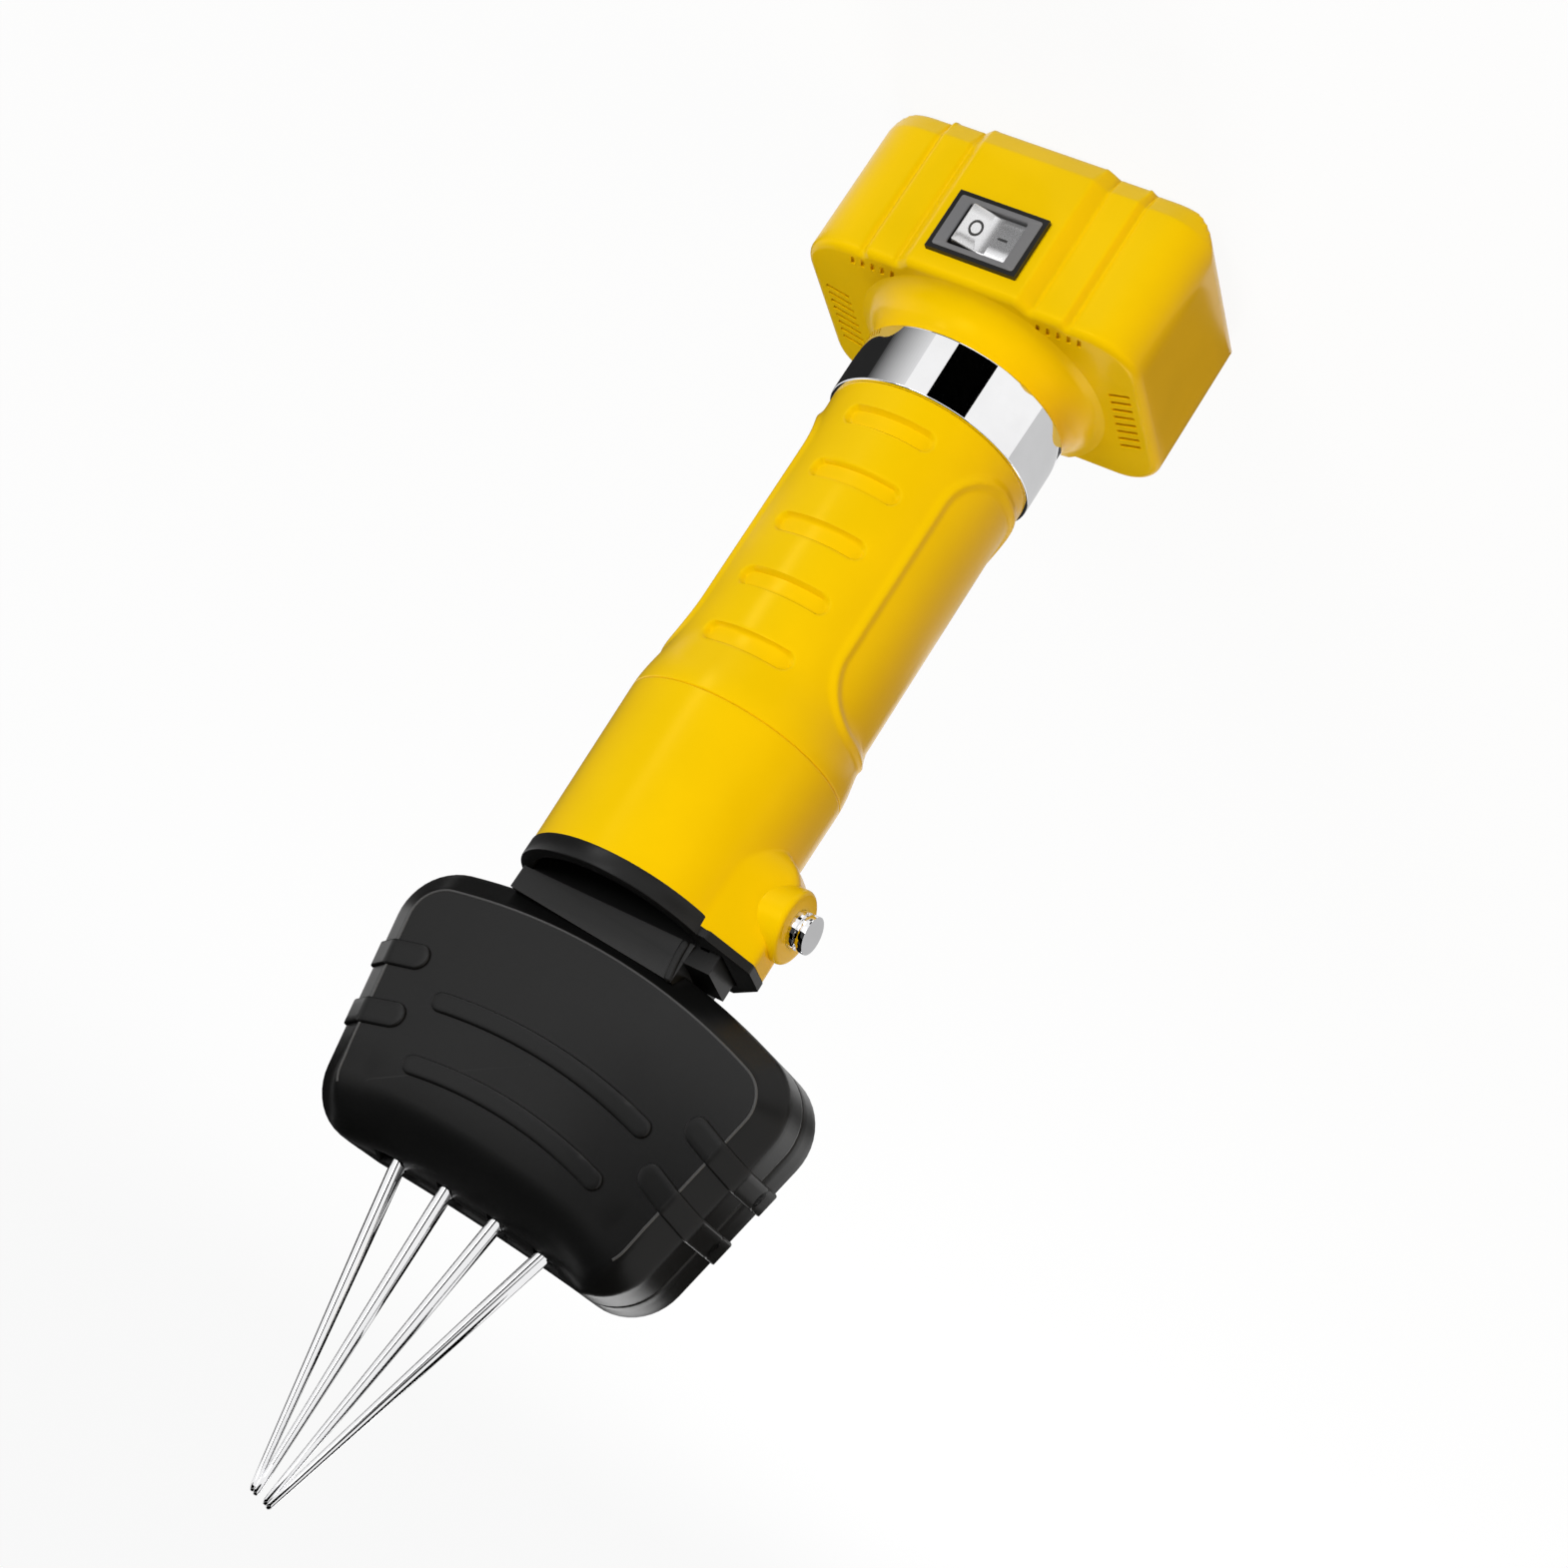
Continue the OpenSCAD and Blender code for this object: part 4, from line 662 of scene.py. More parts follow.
# Battery foot in millimetres: its plan with the stepped switch pad, its levels and its openings
FOOT_H = 38.0
FOOT_HALF_W = 39.5
FOOT_REAR = 23.5
FOOT_FRONT = 27.0
FOOT_CORNER_R = 11.0
FOOT_END_R = 8.5
FOOT_EDGE_R = 1.9
STRIP_H = 5.3
STRIP_IN = 2.4
PAD = [(13.0, -30.3), (15.6, -27.9), (16.0, -27.5), (16.6, -28.1), (23.0, -28.1), (24.0, -26.8),
       (24.4, -26.4), (25.0, -27.0)]
FOOT_BASE = [(0.0, 1.1), (0.12, 0.55), (0.5, 0.12), (1.0, 0.0)]
FOOT_LEVELS = [1.8, 2.8, 3.8, 4.7, 5.2, 5.5, 6.2, 7.0, 12, 18, 24, 30, 34]
FOOT_EDGE_STEPS = 6
FOOT_SPACING = 0.3
FOOT_PASSES = 3
PASSES_PER_MM = 6
CHANNEL = (-27, 27, -23, 40)
CHANNEL_Z = (-5, 12)
SWITCH_HOLE = (-9.75, 9.75, -40, -8)
SWITCH_HOLE_Z = (19.3, 32.5)
VENT_ABOVE = 3
END_VENTS = 8
END_VENT_X = 33.8
END_VENT_PITCH = 2.6
END_VENT_HALF = (2.75, 0.5)
END_VENT_TURN = 20
END_VENT_DEPTH = 2.6
FRONT_VENTS = 5
FRONT_VENT_AT = (22.0, -23.6)
FRONT_VENT_PITCH = 2.4
FRONT_VENT_HALF = (0.45, 1.3)
FRONT_VENT_TURN = 12
FRONT_VENT_DEPTH = 0.6


def resample(points, spacing):
    """Evenly spaced points along a closed line."""
    closed = points + points[:1]
    lengths = [math.dist(a, b) for a, b in zip(closed, closed[1:])]
    count = round(sum(lengths) / spacing)
    out, k, run = [], 0, 0.0
    for i in range(count):
        want = sum(lengths) * i / count
        while run + lengths[k] < want:
            run += lengths[k]
            k += 1
        t = (want - run) / lengths[k]
        a, b = closed[k], closed[k + 1]
        out.append((a[0] + (b[0] - a[0]) * t, a[1] + (b[1] - a[1]) * t))
    return out


def smoothed(points, passes):
    """Closed line with its corners eased, each point drawn towards its two neighbours."""
    for _ in range(passes):
        after = points[1:] + points[:1]
        before = points[-1:] + points[:-1]
        points = [((a[0] + 2 * b[0] + c[0]) / 4, (a[1] + 2 * b[1] + c[1]) / 4)
                  for a, b, c in zip(before, points, after)]
    return points


def foot_outline():
    """Plan of the foot with its stepped switch pad, and the outward normal at each point."""
    corner = FOOT_HALF_W - FOOT_CORNER_R
    half = [(0.0, PAD[0][1]), *PAD]
    half += arc((corner, FOOT_CORNER_R - FOOT_FRONT), FOOT_CORNER_R, 0, 90, ARC_POINTS)
    half += arc((corner, FOOT_REAR - FOOT_CORNER_R), FOOT_CORNER_R, 90, 180, ARC_POINTS)
    half += [(0.0, FOOT_REAR)]
    points = smoothed(resample(with_mirror(half), FOOT_SPACING), FOOT_PASSES)
    size = len(points)
    normals = []
    for i in range(size):
        a, b = points[i - 1], points[(i + 1) % size]
        length = math.dist(a, b)
        normals.append(((b[1] - a[1]) / length, -(b[0] - a[0]) / length))
    return points, normals


def foot_ring(points, normals, z, inset):
    """One level of the foot: drawn in, sloped at the front strip and rounded at the two end edges."""
    slope = STRIP_IN * max(0.0, 1 - z / STRIP_H)
    drop = max(0.0, FOOT_END_R - z)
    reach = FOOT_HALF_W - FOOT_END_R + math.sqrt(FOOT_END_R ** 2 - drop ** 2)
    ring = []
    for (x, y), (nx, ny) in zip(points, normals):
        x, y = x - inset * nx, y - inset * ny
        y += slope * max(0.0, -ny)
        ring.append((math.copysign(min(abs(x), reach), x), y))
    return [tool_point(x, y, z) for x, y in smoothed(ring, round(inset * PASSES_PER_MM))]


def foot_vents():
    """Slanted slots near the two ends and short ones by the front edge, as one cutter."""
    slots = []
    for side in (-1, 1):
        turn = math.radians(-END_VENT_TURN * side)
        for i in range(END_VENTS):
            y = (i - (END_VENTS - 1) / 2) * END_VENT_PITCH
            slots.append((side * END_VENT_X, y, END_VENT_HALF, turn, END_VENT_DEPTH))
        turn = math.radians(-FRONT_VENT_TURN)
        for i in range(FRONT_VENTS):
            x = side * FRONT_VENT_AT[0] + (i - FRONT_VENTS // 2) * FRONT_VENT_PITCH
            slots.append((x, FRONT_VENT_AT[1], FRONT_VENT_HALF, turn, FRONT_VENT_DEPTH))
    points, faces = [], []
    for x, y, (half_len, half_w), turn, depth in slots:
        corners = [(half_len, half_w), (-half_len, half_w), (-half_len, -half_w), (half_len, -half_w)]
        turned = [(x + a * math.cos(turn) - b * math.sin(turn), y + a * math.sin(turn) + b * math.cos(turn))
                  for a, b in corners]
        slot_points, slot_faces = prism(turned, FOOT_H - depth, FOOT_H + VENT_ABOVE, tool_point)
        faces += [tuple(i + len(points) for i in face) for face in slot_faces]
        points += slot_points
    return points, faces


def foot():
    """Foot shell with the battery channel, the switch hole and the vents cut out."""
    points, normals = foot_outline()
    levels = FOOT_BASE + [(z, 0.0) for z in FOOT_LEVELS]
    for i in range(FOOT_EDGE_STEPS + 1):
        a = math.radians(90 * i / FOOT_EDGE_STEPS)
        levels.append((FOOT_H - FOOT_EDGE_R * (1 - math.sin(a)), FOOT_EDGE_R * (1 - math.cos(a))))
    rings = [foot_ring(points, normals, z, inset) for z, inset in levels]
    piece = add_piece("foot_shell", *loft(rings), yellow)
    channel = prism(box_outline(*CHANNEL), *CHANNEL_Z, tool_point)
    switch_hole = prism(box_outline(*SWITCH_HOLE), *SWITCH_HOLE_Z, tool_point)
    cut(piece, [channel, switch_hole, foot_vents()])
    finish_mesh(piece.data, yellow, sharp=28)
    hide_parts("base_housing")


foot()

# Ring, barrel and gear housing in millimetres
RING_Z = 46.6
RING_R = 23.5
RING_BORE_R = 20.5
RING_EDGE_R = 0.3
GRIP_Z = 61.0
HOUSING_Z = 138.0
END_Z = 175.8
HOUSING_TOP_Z = 178.0
GRIP_R = 22.5
FLARE_R = 24.2
FLARE_LEN = 15.0
END_TAPER = 0.5
LEAD_IN = 0.3
LEAD_IN_LEN = 12
BORE_R = 19.9
CASE_BORE_R = 21.0
BORE_MARGIN = 0.2
SHELL_EDGE_R = 0.35
EDGE_STEPS = [0.0, 0.06, 0.18, SHELL_EDGE_R]
GRIP_INSET = 0.6
GRIP_LEVELS = 190
GRIP_POINTS = 360
CASE_INSET = 0.8
CASE_LEVELS = 90
CASE_POINTS = 300

# Thumb slots, rimmed side panels and screw recesses of the barrel
SLOT_ZS = [69.2 + 13.8 * i for i in range(5)]
SLOT_HALF = (10.25, 2.1)
SLOT_CORNER = 2.05
SLOT_DEPTH = 1.25
SLOT_SOFT = (0.25, -0.4)
PANEL_HALF = 16.8
PANEL_Z = (66.0, 128.0)
PANEL_CORNER = 12.0
PANEL_SINK = 0.12
PANEL_SOFT = (0.2, -1.8)
RIM_H = 0.6
RIM_W = 1.1
SCREW_ANGLES = (40, 90, 140)
SCREW_ZS = (64.5, 134.5)
SCREW_DEPTH = 1.5
SCREW_SOFT = (2.75, 2.25)
RECESS_REACH = 4
SLOT_FRONT_Y = -15
PANEL_HALF_Y = 19

# Lug and boss of the lock button
BUTTON_Z = 166.4
LUG_LOW_Z = 149
LUG_Z = 154.0
LUG_LEN = 10.0
LUG_ROOT = 21.0
LUG_REACH = 30.5
LUG_HALF_W = 4.0
LUG_FLANK = math.radians(50)
LUG_SPAN = 0.8
LUG_TIP_BLEND = 1.2
LUG_BASE_BLEND = 0.3
BOSS_R = 7.8
BOSS_REACH = 32.2
BOSS_EDGE_R = 1.0
BUTTON_BORE_R = 4.05
BUTTON_BORE = (20.0, 34.0)
POCKET_IN = 15.0
POCKET_OUT = 25
POCKET_HALF = 6.5
POCKET_TOP_Z = 185.0


def end_round(z, low, high, radius):
    """Drop of a round edge at both ends of a run."""
    reach = min(z - low, high - z)
    if reach >= radius:
        return 0.0
    return radius - math.sqrt(max(radius ** 2 - (radius - reach) ** 2, 0.0))


def rounded_box(x, y, half_x, half_y, corner):
    """Distance outside a rounded rectangle, less than 0 inside."""
    a, b = abs(x) - half_x + corner, abs(y) - half_y + corner
    return math.hypot(max(a, 0), max(b, 0)) + min(max(a, b), 0) - corner


def slot_drop(x, z):
    """Depth of the thumb slots at a place on the front of the barrel."""
    drop = 0.0
    for slot_z in SLOT_ZS:
        if abs(z - slot_z) < RECESS_REACH:
            drop += SLOT_DEPTH * smooth_step(*SLOT_SOFT, rounded_box(x, z - slot_z, *SLOT_HALF, SLOT_CORNER))
    return drop


def panel_rise(around, z):
    """Height of a side panel and its rim, at a distance around the barrel from the panel's middle."""
    low, high = PANEL_Z
    reach = rounded_box(around, z - (low + high) / 2, PANEL_HALF, (high - low) / 2, PANEL_CORNER)
    return RIM_H * math.exp(-(reach / RIM_W) ** 2) - PANEL_SINK * smooth_step(*PANEL_SOFT, reach)


def screw_drop(angle, z):
    """Depth of the screw recesses at the back of the barrel."""
    drop = 0.0
    for screw_z in SCREW_ZS:
        if abs(z - screw_z) < RECESS_REACH:
            for turn in SCREW_ANGLES:
                gap = math.hypot(GRIP_R * (angle - math.radians(turn)), z - screw_z)
                drop += SCREW_DEPTH * smooth_step(*SCREW_SOFT, gap)
    return drop


def grip_radius(angle, z):
    """Barrel with its flare, thumb slots, rimmed side panels and screw recesses."""
    flare = min(max((z - HOUSING_Z + FLARE_LEN) / FLARE_LEN, 0.0), 1.0)
    radius = GRIP_R + (FLARE_R - GRIP_R) * (1 - math.cos(math.pi * flare)) / 2
    radius += LEAD_IN * max(0.0, 1 - (z - GRIP_Z) / LEAD_IN_LEN)
    x, y = radius * math.cos(angle), radius * math.sin(angle)
    if y < SLOT_FRONT_Y:
        radius -= slot_drop(x, z)
    if abs(y) < PANEL_HALF_Y:
        around = radius * math.asin(max(-1.0, min(1.0, y / radius)))
        radius += panel_rise(around, z)
    if y > 0:
        radius -= screw_drop(angle, z)
    return radius - end_round(z, GRIP_Z, HOUSING_Z, SHELL_EDGE_R)


def housing_radius(angle, z):
    """Gear housing that swells into the lug of the lock button."""
    base = FLARE_R - END_TAPER * (z - HOUSING_Z) / (END_Z - HOUSING_Z)
    base -= end_round(z, HOUSING_Z, math.inf, SHELL_EDGE_R)
    side = abs(angle - math.pi)
    if side > LUG_SPAN or z < LUG_LOW_Z:
        return base
    t = min(max((z - LUG_Z) / LUG_LEN, 0.0), 1.0)
    reach = LUG_ROOT + (LUG_REACH - LUG_ROOT) * math.sqrt(max(0.0, 1 - (1 - t) ** 2))
    tip = reach / math.cos(side)
    flank = (reach * math.cos(LUG_FLANK) + LUG_HALF_W * math.sin(LUG_FLANK)) / math.cos(LUG_FLANK - side)
    lug = -soft_max(-tip, -flank, LUG_TIP_BLEND)
    return soft_max(base, lug, LUG_BASE_BLEND)


def polar_shell(name, radius_at, levels, count, inner):
    """Yellow tube with a modelled outside, given as a radius over angle and height."""
    angles = round_angles(count)
    turns = [(math.cos(a), math.sin(a)) for a in angles]

    def ring(radii, z):
        return [tool_point(r * c, r * s, z) for r, (c, s) in zip(radii, turns)]

    rings = [ring([inner] * count, levels[0])]
    rings += [ring([radius_at(a, z) for a in angles], z) for z in levels]
    rings.append(ring([inner] * count, levels[-1]))
    return add_piece(name, *round_loft(rings), yellow, sharp=50)


def turned_ring(name, profile, place, material, count=192):
    """Ring solid turned from a closed (radius, height) profile."""
    angles = round_angles(count)
    rings = [[place(radius * math.cos(a), radius * math.sin(a), height) for a in angles]
             for radius, height in profile]
    return add_piece(name, *round_loft(rings), material, sharp=50)


def round_profile(inner, outer, low, high, radius):
    """Closed profile of a ring with round outer edges."""
    turns = even(0.0, math.pi / 2, 5)
    profile = [(inner, low)]
    profile += [(outer - radius * (1 - math.sin(a)), low + radius * (1 - math.cos(a))) for a in turns]
    profile += [(outer, low + 1.4 * radius), (outer, high - 1.4 * radius)]
    profile += [(outer - radius * (1 - math.cos(a)), high - radius * (1 - math.sin(a))) for a in turns]
    return profile + [(inner, high)]


def bright_ring():
    """Chrome ring between the foot and the grip."""
    profile = round_profile(RING_BORE_R, RING_R, RING_Z, GRIP_Z, RING_EDGE_R)
    ring = turned_ring("bright_ring", profile, tool_point, chrome)
    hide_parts("trim_ring")


def grip():
    """Yellow barrel that the hand holds."""
    levels = [GRIP_Z + e for e in EDGE_STEPS]
    levels += even(GRIP_Z + GRIP_INSET, HOUSING_Z - GRIP_INSET, GRIP_LEVELS)
    levels += [HOUSING_Z - e for e in reversed(EDGE_STEPS)]
    piece = polar_shell("grip", grip_radius, levels, GRIP_POINTS, BORE_R)
    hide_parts("grip_barrel")


def along_button(a, b, reach):
    """A point at a distance along the lock button's axis."""
    return tool_point(-reach, a, BUTTON_Z + b)


def gear_case():
    """Gear housing with the button's bore and a pocket behind it, painted black inside as shade in the
    hollow.
    """
    levels = [HOUSING_Z + e for e in EDGE_STEPS]
    levels += even(HOUSING_Z + CASE_INSET, HOUSING_TOP_Z, CASE_LEVELS)
    case = polar_shell("gear_case", housing_radius, levels, CASE_POINTS, CASE_BORE_R)
    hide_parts("gear_housing")
    pocket_plan = box_outline(-POCKET_OUT, -POCKET_IN, -POCKET_HALF, POCKET_HALF)
    pocket = prism(pocket_plan, BUTTON_Z - POCKET_HALF, POCKET_TOP_Z, tool_point)
    circle = [(BUTTON_BORE_R * math.cos(a), BUTTON_BORE_R * math.sin(a)) for a in round_angles(48)]
    cut(case, [pocket, prism(circle, *BUTTON_BORE, along_button)])
    finish_mesh(case.data, yellow, sharp=50)
    # Faces inside the bore are painted black: painted shade in the hollow under the nose ring
    case.data.materials.append(black)
    for face in case.data.polygons:
        if math.hypot(face.center.x, face.center.y) < (CASE_BORE_R + BORE_MARGIN) * MM:
            face.material_index = 1


def button_boss():
    """Round boss that the lock button goes through."""
    profile = round_profile(BUTTON_BORE_R, BOSS_R, POCKET_OUT, BOSS_REACH, BOSS_EDGE_R)
    turned_ring("button_boss", profile, along_button, yellow)


bright_ring()
grip()
gear_case()
button_boss()

# Rocker switch in millimetres, about its pivot
SWITCH_Z = 25.9
BEZEL_Y = -31.6
PIVOT = Vector((0.0, -28.6, SWITCH_Z))
ROCKER_TILT = math.radians(10.0)
ROCKER_TURN = Matrix.Rotation(-ROCKER_TILT, 3, "Z")
ROCKER_HALF = 6.3
ROCKER_RISE = 2.2
ROCKER_SLOPE = math.tan(ROCKER_TILT)
VALLEY = 0.6
ROCKER_ENDS = [(-4.95, 0.5), (-4.88, 0.22), (-4.65, 0.0), (-2.0, 0.0), (2.0, 0.0), (4.65, 0.0), (4.88, 0.22),
               (4.95, 0.5)]
ROCKER_UNDER = [(ROCKER_HALF, -0.4), (3.4, 3.2), (-3.4, 3.2), (-ROCKER_HALF, -0.4)]
ROCKER_EDGE_R = 0.25
FLANK_NORMAL_Y = -0.6
MARK_H = 0.03
OFF_MARK_X = 3.1
OFF_MARK_R = (1.45, 1.0)
OFF_MARK_STRETCH = 1.35
ON_MARK = (-4.1, -1.9, -0.28, 0.28)

# Surround of the rocker, ring by ring: half width, half height, depth from the bezel's face, corner radius
SURROUND = [(9.5, 6.5, 0.1, 0.6), (9.5, 6.5, -0.02, 0.6), (9.4, 6.4, -0.1, 0.6), (6.9, 5.4, -0.1, 0.5),
            (6.7, 5.2, 0.1, 0.4), (6.7, 5.2, 5.0, 0.4), (8.4, 5.6, 5.0, 0.4), (8.4, 5.6, 0.1, 0.4)]


def frame_ring(half_x, half_z, y, radius):
    """Rounded rectangle in the switch's face, at a depth from the bezel's face."""
    ring = []
    for sx, sz, start in ((1, 1, 0), (-1, 1, 90), (-1, -1, 180), (1, -1, 270)):
        for turn in even(start, start + 90, 5):
            a = math.radians(turn)
            x = sx * (half_x - radius) + radius * math.cos(a)
            z = sz * (half_z - radius) + radius * math.sin(a)
            ring.append(tool_point(x, BEZEL_Y + y, SWITCH_Z + z))
    return ring


def switch_frame():
    """Grey surround between the black bezel and the rocker."""
    rings = [frame_ring(*sizes) for sizes in SURROUND]
    add_piece("switch_frame", *round_loft(rings), switch_grey)


def rocker_place(x, y, z):
    """A point about the rocker's pivot, as a place in metres."""
    return (PIVOT + ROCKER_TURN @ Vector((x, y, z))) * MM


def rocker_face(x):
    """Level of the rocker's face, with a shallow valley over the pivot."""
    return -ROCKER_RISE - ROCKER_SLOPE * math.sqrt(x * x + VALLEY)


def on_rocker(x, z, h):
    """A point at a height over the rocker's face."""
    return rocker_place(x, rocker_face(x) - h, z)


def rocker():
    """Silver rocker with a shallow valley, round edges and flanks painted black as shade."""
    xs = [ROCKER_HALF * (i / 6 - 1) for i in range(13)]
    profile = [(x, rocker_face(x)) for x in xs] + ROCKER_UNDER
    rings = []
    for z, inset in ROCKER_ENDS:
        drawn = [(x - math.copysign(min(inset, abs(x)), x), y + (inset if y < 0 else -inset))
                 for x, y in profile]
        rings.append([rocker_place(x, y, z) for x, y in drawn])
    piece = add_piece("rocker", *loft(rings), silver, "rocker", sharp=40)
    # The flanks get the black ink: painted shade of the gap around the rocker
    piece.data.materials.append(print_and_flank_shade_ink)
    for face in piece.data.polygons:
        if face.normal.y > FLANK_NORMAL_Y:
            face.material_index = 1
    soften(piece, ROCKER_EDGE_R * MM, angle=40)
    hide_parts("switch_rocker")


def rocker_marks():
    """Round off mark and bar-shaped on mark, printed on the rocker."""
    outer, inner = OFF_MARK_R
    rings = []
    for r, h in ((outer, -MARK_H), (outer, MARK_H), (inner, MARK_H), (inner, -MARK_H)):
        rings.append([on_rocker(OFF_MARK_X + r * math.cos(a), OFF_MARK_STRETCH * r * math.sin(a), h)
                      for a in round_angles(40)])
    add_piece("mark_off", *round_loft(rings), print_and_flank_shade_ink, "rocker")
    add_piece("mark_on", *prism(box_outline(*ON_MARK), -MARK_H, MARK_H, on_rocker), print_and_flank_shade_ink, "rocker")


switch_frame()
rocker()
rocker_marks()

# Prongs in the head frame: places of both ends, and radii along the length
PRONG_EXIT = (10.0, 43.0)
PRONG_TIP_N = 4.0
OUTER_ENDS_U = (18.6, 2.3)
INNER_ENDS_U = (6.4, 1.4)
PRONG_RADII = [(0.0, 1.65), (0.25, 1.5), (0.5, 1.25), (0.75, 0.98), (0.9, 0.82), (0.985, 0.72), (0.994, 0.6),
               (1.0, 0.3)]


def prong(name, side, ends_u, tip_v, body):
    """Polished tapered rod with a round tip, which starts just inside the head."""
    exit_u, tip_u = ends_u
    start = head_point(side * exit_u, *PRONG_EXIT)
    end = head_point(side * tip_u, PRONG_TIP_N, tip_v)
    along = (end - start).normalized()
    across = along.cross(Vector((0, 1, 0))).normalized()
    up = along.cross(across)
    length = (end - start).length
    turns = [across * math.cos(a) + up * math.sin(a) for a in round_angles(32)]
    rings = []
    for t, radius in PRONG_RADII:
        middle = start + along * length * t
        rings.append([middle + turn * radius * MM for turn in turns])
    return add_piece(name, *loft(rings), chrome, body, sharp=60)


def prongs():
    """Two outer prongs on the jaws and two inner ones fixed in the head."""
    left = prong("prong_left_out", 1, OUTER_ENDS_U, 110.5, "jaw_left")
    right = prong("prong_right_out", -1, OUTER_ENDS_U, 111.5, "jaw_right")
    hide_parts("left_outer_prong")
    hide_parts("right_outer_prong")
    inner = prong("prong_left_in", 1, INNER_ENDS_U, 110.8, "housing")
    prong("prong_right_in", -1, INNER_ENDS_U, 111.2, "housing")
    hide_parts("inner_prongs")


prongs()

# Neck: curved rib at the button's end
NECK_RIB_AT = (-12.0, 0.8, -13.2)
NECK_RIB_LEN = 7.2
NECK_RIB_HALF_W = 0.9
NECK_RIB_BOW = 0.9
NECK_RIB_H = 0.6


def neck_rib():
    """Short curved rib on the neck."""

    def place(s, w, h):
        u, n, v = NECK_RIB_AT
        bow = NECK_RIB_BOW * math.sin(math.pi * s / NECK_RIB_LEN / 2)
        return head_point(u + bow + w, n - h, v - s)

    pill("neck_rib", NECK_RIB_LEN, NECK_RIB_HALF_W, NECK_RIB_H, place, steps=16)


neck_rib()

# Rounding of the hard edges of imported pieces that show
SOFT_EDGES = {"grip_collar": 0.3, "nose_ring": 0.35, "lock_button": 0.4, "switch_bezel": 0.25,
              "head_neck": 0.5}
for name, width in SOFT_EDGES.items():
    soften(NODES[name], width * MM)


# Stage: camera, pale floor and world, cards that bright surfaces mirror, and soft light from all sides
FLOOR_HALF = 40.0
CARD_STEPS = 16
CARD_LIFT = 0.4 * MM
FADE_CARDS = 16
FADE_START = 298
FADE_TURN = 2.75
FADE_BRIGHT = 0.75
FADE_DROP = 0.045
WORLD_LIGHT = 0.18
WORLD_SEEN = 0.95


def look(azimuth, elevation, roll):
    """Camera axes as a matrix: right, up and back."""
    a, e, r = (math.radians(v) for v in (azimuth, elevation, roll))
    back = Vector((math.sin(a) * math.cos(e), -math.cos(a) * math.cos(e), math.sin(e)))
    right = (-back).cross(Vector((0, 0, 1))).normalized()
    down = (-back).cross(right)
    turned = math.cos(r) * right + math.sin(r) * down
    up = -(-math.sin(r) * right + math.cos(r) * down)
    return Matrix((turned, up, back)).transposed()


def add_camera():
    """The camera, placed and turned as named at the top."""
    data = bpy.data.cameras.new("camera")
    data.lens = LENS_MM
    data.sensor_width = SENSOR_MM
    data.sensor_fit = "HORIZONTAL"
    camera = new_object("camera", data)
    axes = look(CAMERA_AZIMUTH, CAMERA_ELEVATION, CAMERA_ROLL)
    camera.matrix_world = Matrix.Translation(CAMERA_AT) @ axes.to_4x4()
    bpy.context.scene.camera = camera


def add_light(name, at, size, power, colour=(1.0, 1.0, 1.0), glossy=False):
    """Soft light; a glossy one only makes highlights, the others only light matt surfaces."""
    data = bpy.data.lights.new(name, "AREA")
    data.size = size
    data.energy = power
    data.color = colour
    light = new_object(name, data)
    light.location = at
    light.rotation_euler = (Vector(MIDDLE) - Vector(at)).to_track_quat("-Z", "Y").to_euler()
    light.visible_glossy = glossy
    light.visible_diffuse = not glossy


def stage_object(name, points, faces, material):
    """An object of the stage, which isn't part of the tool."""
    mesh = new_mesh(name, points, faces)
    mesh.materials.append(material)
    obj = new_object(name, mesh)
    return obj


def level_square(half, z):
    """Points and face of a level square."""
    return [(-half, -half, z), (half, -half, z), (half, half, z), (-half, half, z)], [(0, 1, 2, 3)]


def add_floor():
    """Pale floor that shows white and keeps the object's shadow."""
    material, _, shader = new_material("pale_floor")
    set_values(shader, {"Base Color": (0.07, 0.07, 0.07, 1), "Roughness": 1.0, "Specular IOR Level": 0.0,
                        "Emission Color": WHITE, "Emission Strength": 0.93})
    floor = stage_object("floor", *level_square(FLOOR_HALF, 0), material)
    floor.visible_diffuse = False


def add_card(name, points, faces, shade):
    """Card that bright surfaces mirror: never seen itself or in the light's way."""
    material, _, shader = new_material(name)
    set_values(shader, {"Base Color": (0, 0, 0, 1), "Specular IOR Level": 0.0, "Emission Color": WHITE,
                        "Emission Strength": shade})
    card = stage_object(name, points, faces, material)
    card.visible_camera = False
    card.visible_diffuse = False
    card.visible_shadow = False
    card.visible_transmission = False


def curved_card(name, start, end, rims, shade):
    """Card between two arcs about the handle's axis, each given by its radius and height."""
    angles = [math.radians(a) for a in even(start, end, CARD_STEPS + 1)]
    points = [(radius * math.cos(a), radius * math.sin(a), z) for radius, z in rims for a in angles]
    faces = [(i, i + 1, i + CARD_STEPS + 2, i + CARD_STEPS + 1) for i in range(CARD_STEPS)]
    add_card(name, points, faces, shade)


def floor_card(name, start, end, inner, outer, shade):
    """Flat card on the floor between two directions from the handle."""
    curved_card(name, start, end, ((inner, CARD_LIFT), (outer, CARD_LIFT)), shade)


def standing_card(name, start, end, radius, low, high, shade):
    """Upright card at a distance from the handle's axis."""
    curved_card(name, start, end, ((radius, low), (radius, high)), shade)


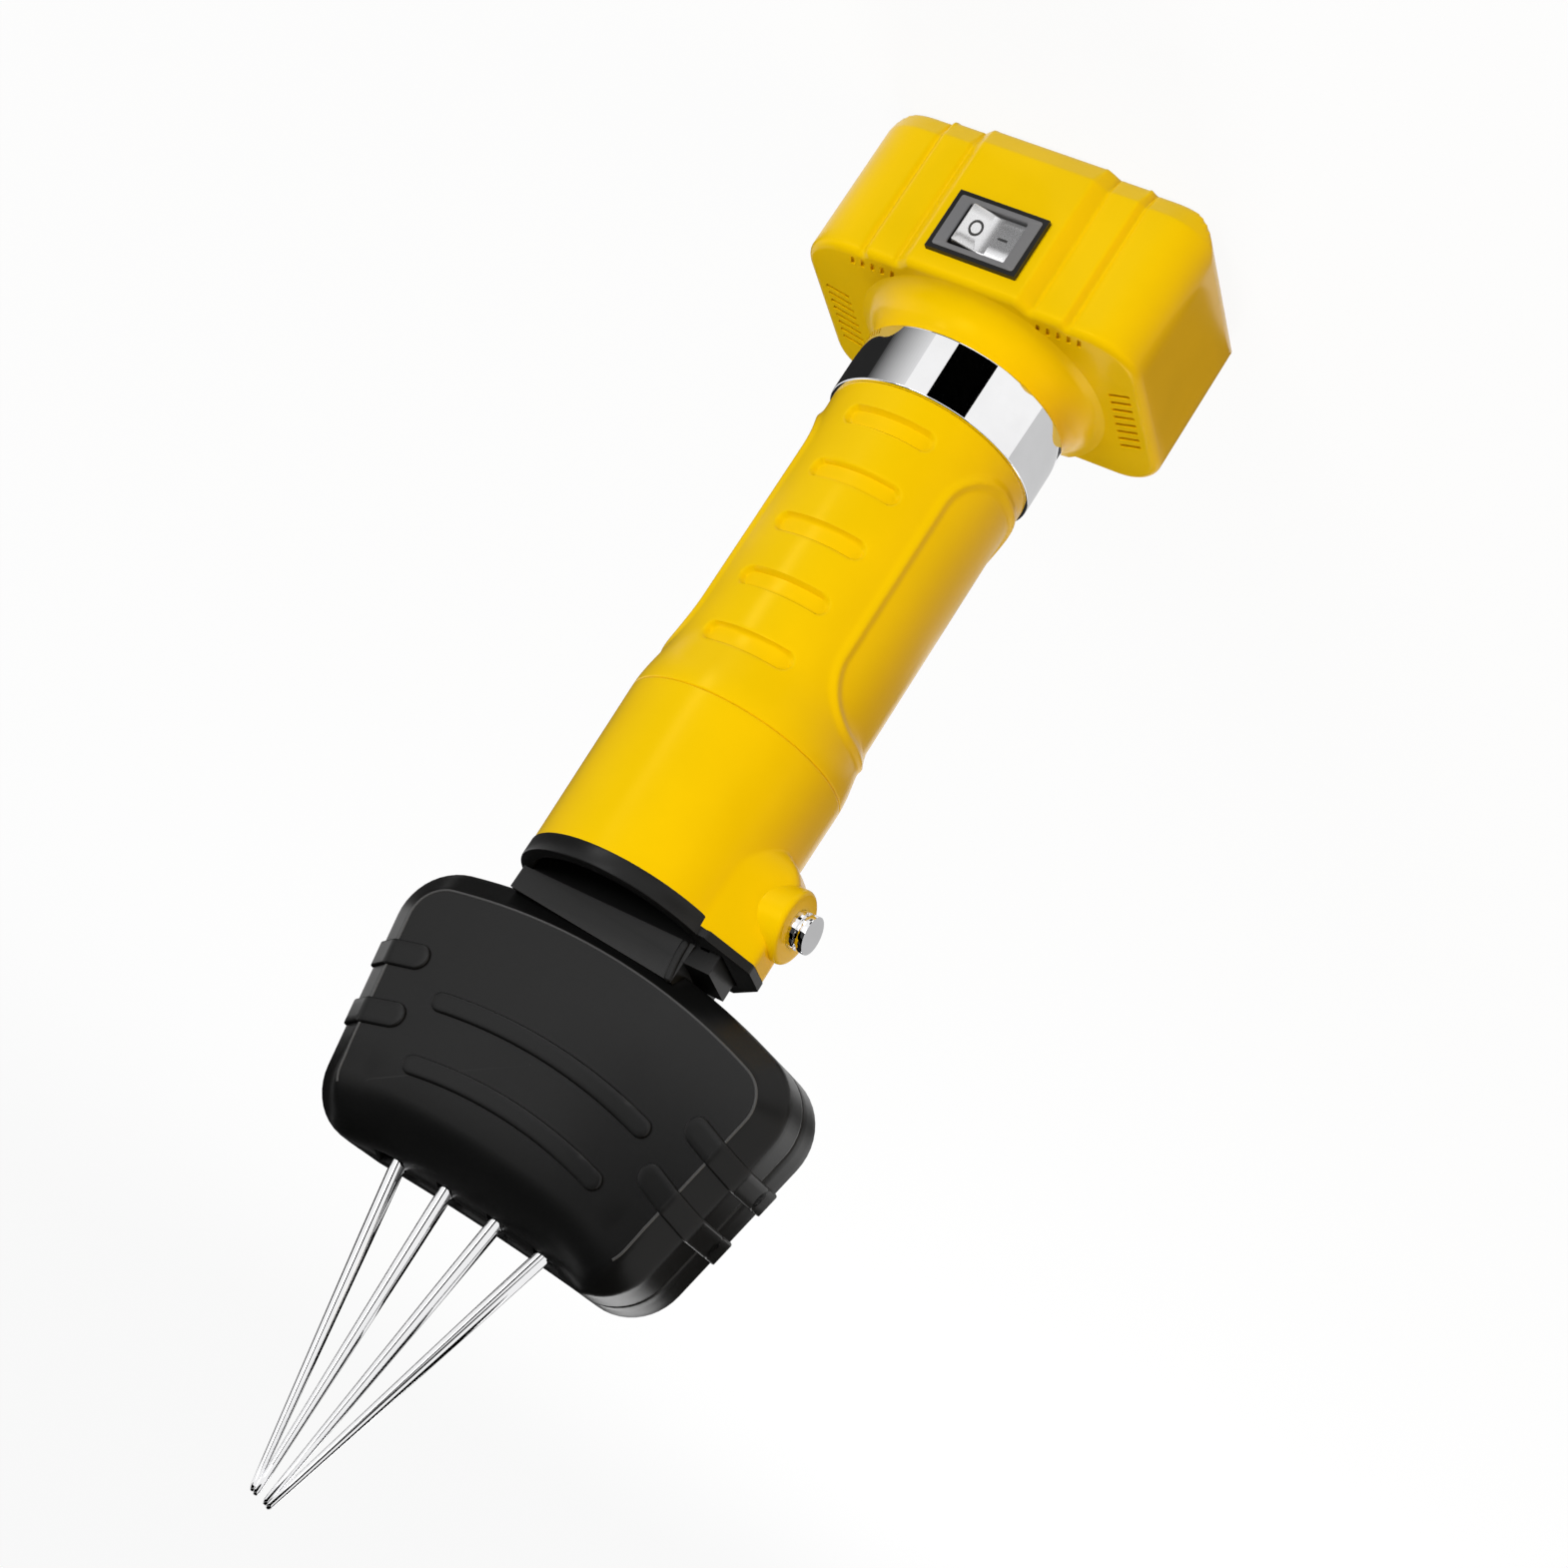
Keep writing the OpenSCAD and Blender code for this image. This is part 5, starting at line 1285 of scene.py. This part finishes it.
def add_world():
    """Dim even light that is white where the camera, a mirror or glass shows it."""
    world = bpy.data.worlds.new("studio")
    bpy.context.scene.world = world
    world.use_nodes = True
    tree = world.node_tree
    sky = tree.nodes["Background"]
    sky.inputs["Color"].default_value = WHITE
    rays = tree.nodes.new("ShaderNodeLightPath")
    seen = rays.outputs["Is Camera Ray"]
    for kind in ("Is Glossy Ray", "Is Transmission Ray"):
        either = tree.nodes.new("ShaderNodeMath")
        either.operation = "MAXIMUM"
        tree.links.new(seen, either.inputs[0])
        tree.links.new(rays.outputs[kind], either.inputs[1])
        seen = either.outputs[0]
    tree.links.new(spread(tree, seen, WORLD_LIGHT, WORLD_SEEN), sky.inputs["Strength"])


add_camera()
add_floor()
add_world()

# Floor cards: directions in degrees, inner and outer radius, brightness
floor_card("front_card", 233, 274, 0.112, 0.24, 0.0)
floor_card("left_card", 342, 423, 0.108, 0.24, 0.02)
for i in range(FADE_CARDS):
    turn = FADE_START + FADE_TURN * i
    floor_card("fade_card", turn, turn + FADE_TURN, 0.112, 0.24, FADE_BRIGHT - FADE_DROP * i)
floor_card("right_card", 63, 174, 0.112, 0.24, 0.62)
floor_card("end_card", 100, 178, 0.045, 0.111, 0.08)
floor_card("side_card", 95, 180, 0.28, 0.5, 0.15)
floor_card("button_card", 108, 126, 0.51, 0.64, 0.5)
floor_card("edge_card", 308, 423, 0.26, 0.9, 0.06)
floor_card("rocker_off_card", 244, 274, 0.055, 0.11, 1.3)
floor_card("rocker_on_card", 274, 304, 0.045, 0.114, 0.06)
floor_card("streak_card", 297, 306, 0.245, 0.5, 6.0)
floor_card("bevel_card", 194, 224, 0.45, 0.85, 0.02)

# Standing cards: directions in degrees, radius, low and high edge, brightness
standing_card("back_card", 78, 128, 0.25, 0.295, 0.42, 3.4)
standing_card("foot_flag", 40, 104, 0.9, 0.08, 0.9, 0.02)
standing_card("roll_card", 225, 350, 1.0, 0.5, 1.2, 0.0)
standing_card("prong_rim_card", 63, 97, 0.06, 0.268, 0.36, 0.0)
standing_card("prong_right_card", 112, 165, 0.06, 0.268, 0.36, 0.0)
standing_card("prong_low_card", 63, 150, 0.12, 0.212, 0.255, 0.0)
standing_card("prong_middle_card", 258, 284, 0.12, 0.212, 0.31, 0.05)
standing_card("prong_left_card", 362, 423, 0.12, 0.212, 0.31, 0.0)

# Dark card over the tool: half width, height and brightness
add_card("ceiling_card", *level_square(0.9, 1.2), 0.0)

# Lights aimed at the middle of the tool: place, size, power and colour
MIDDLE = (0, 0, 0.15)
WARM = (1.0, 0.76, 0.4)
add_light("key", (0.15, -1.12, 0.25), 0.4, 10.5)
add_light("glint", (0.25, -1.1, 0.25), 0.4, 1.1, glossy=True)
add_light("right", (-1.0, -0.1, 0.2), 0.5, 4.9, WARM)
add_light("left", (1.0, -0.1, 0.2), 0.5, 1.2, WARM)
add_light("back", (0.1, 1.5, 0.9), 0.6, 14.0)
add_light("top", (0, 0, 1.3), 1.0, 1.2)
bpy.context.scene.view_settings.view_transform = "Standard"
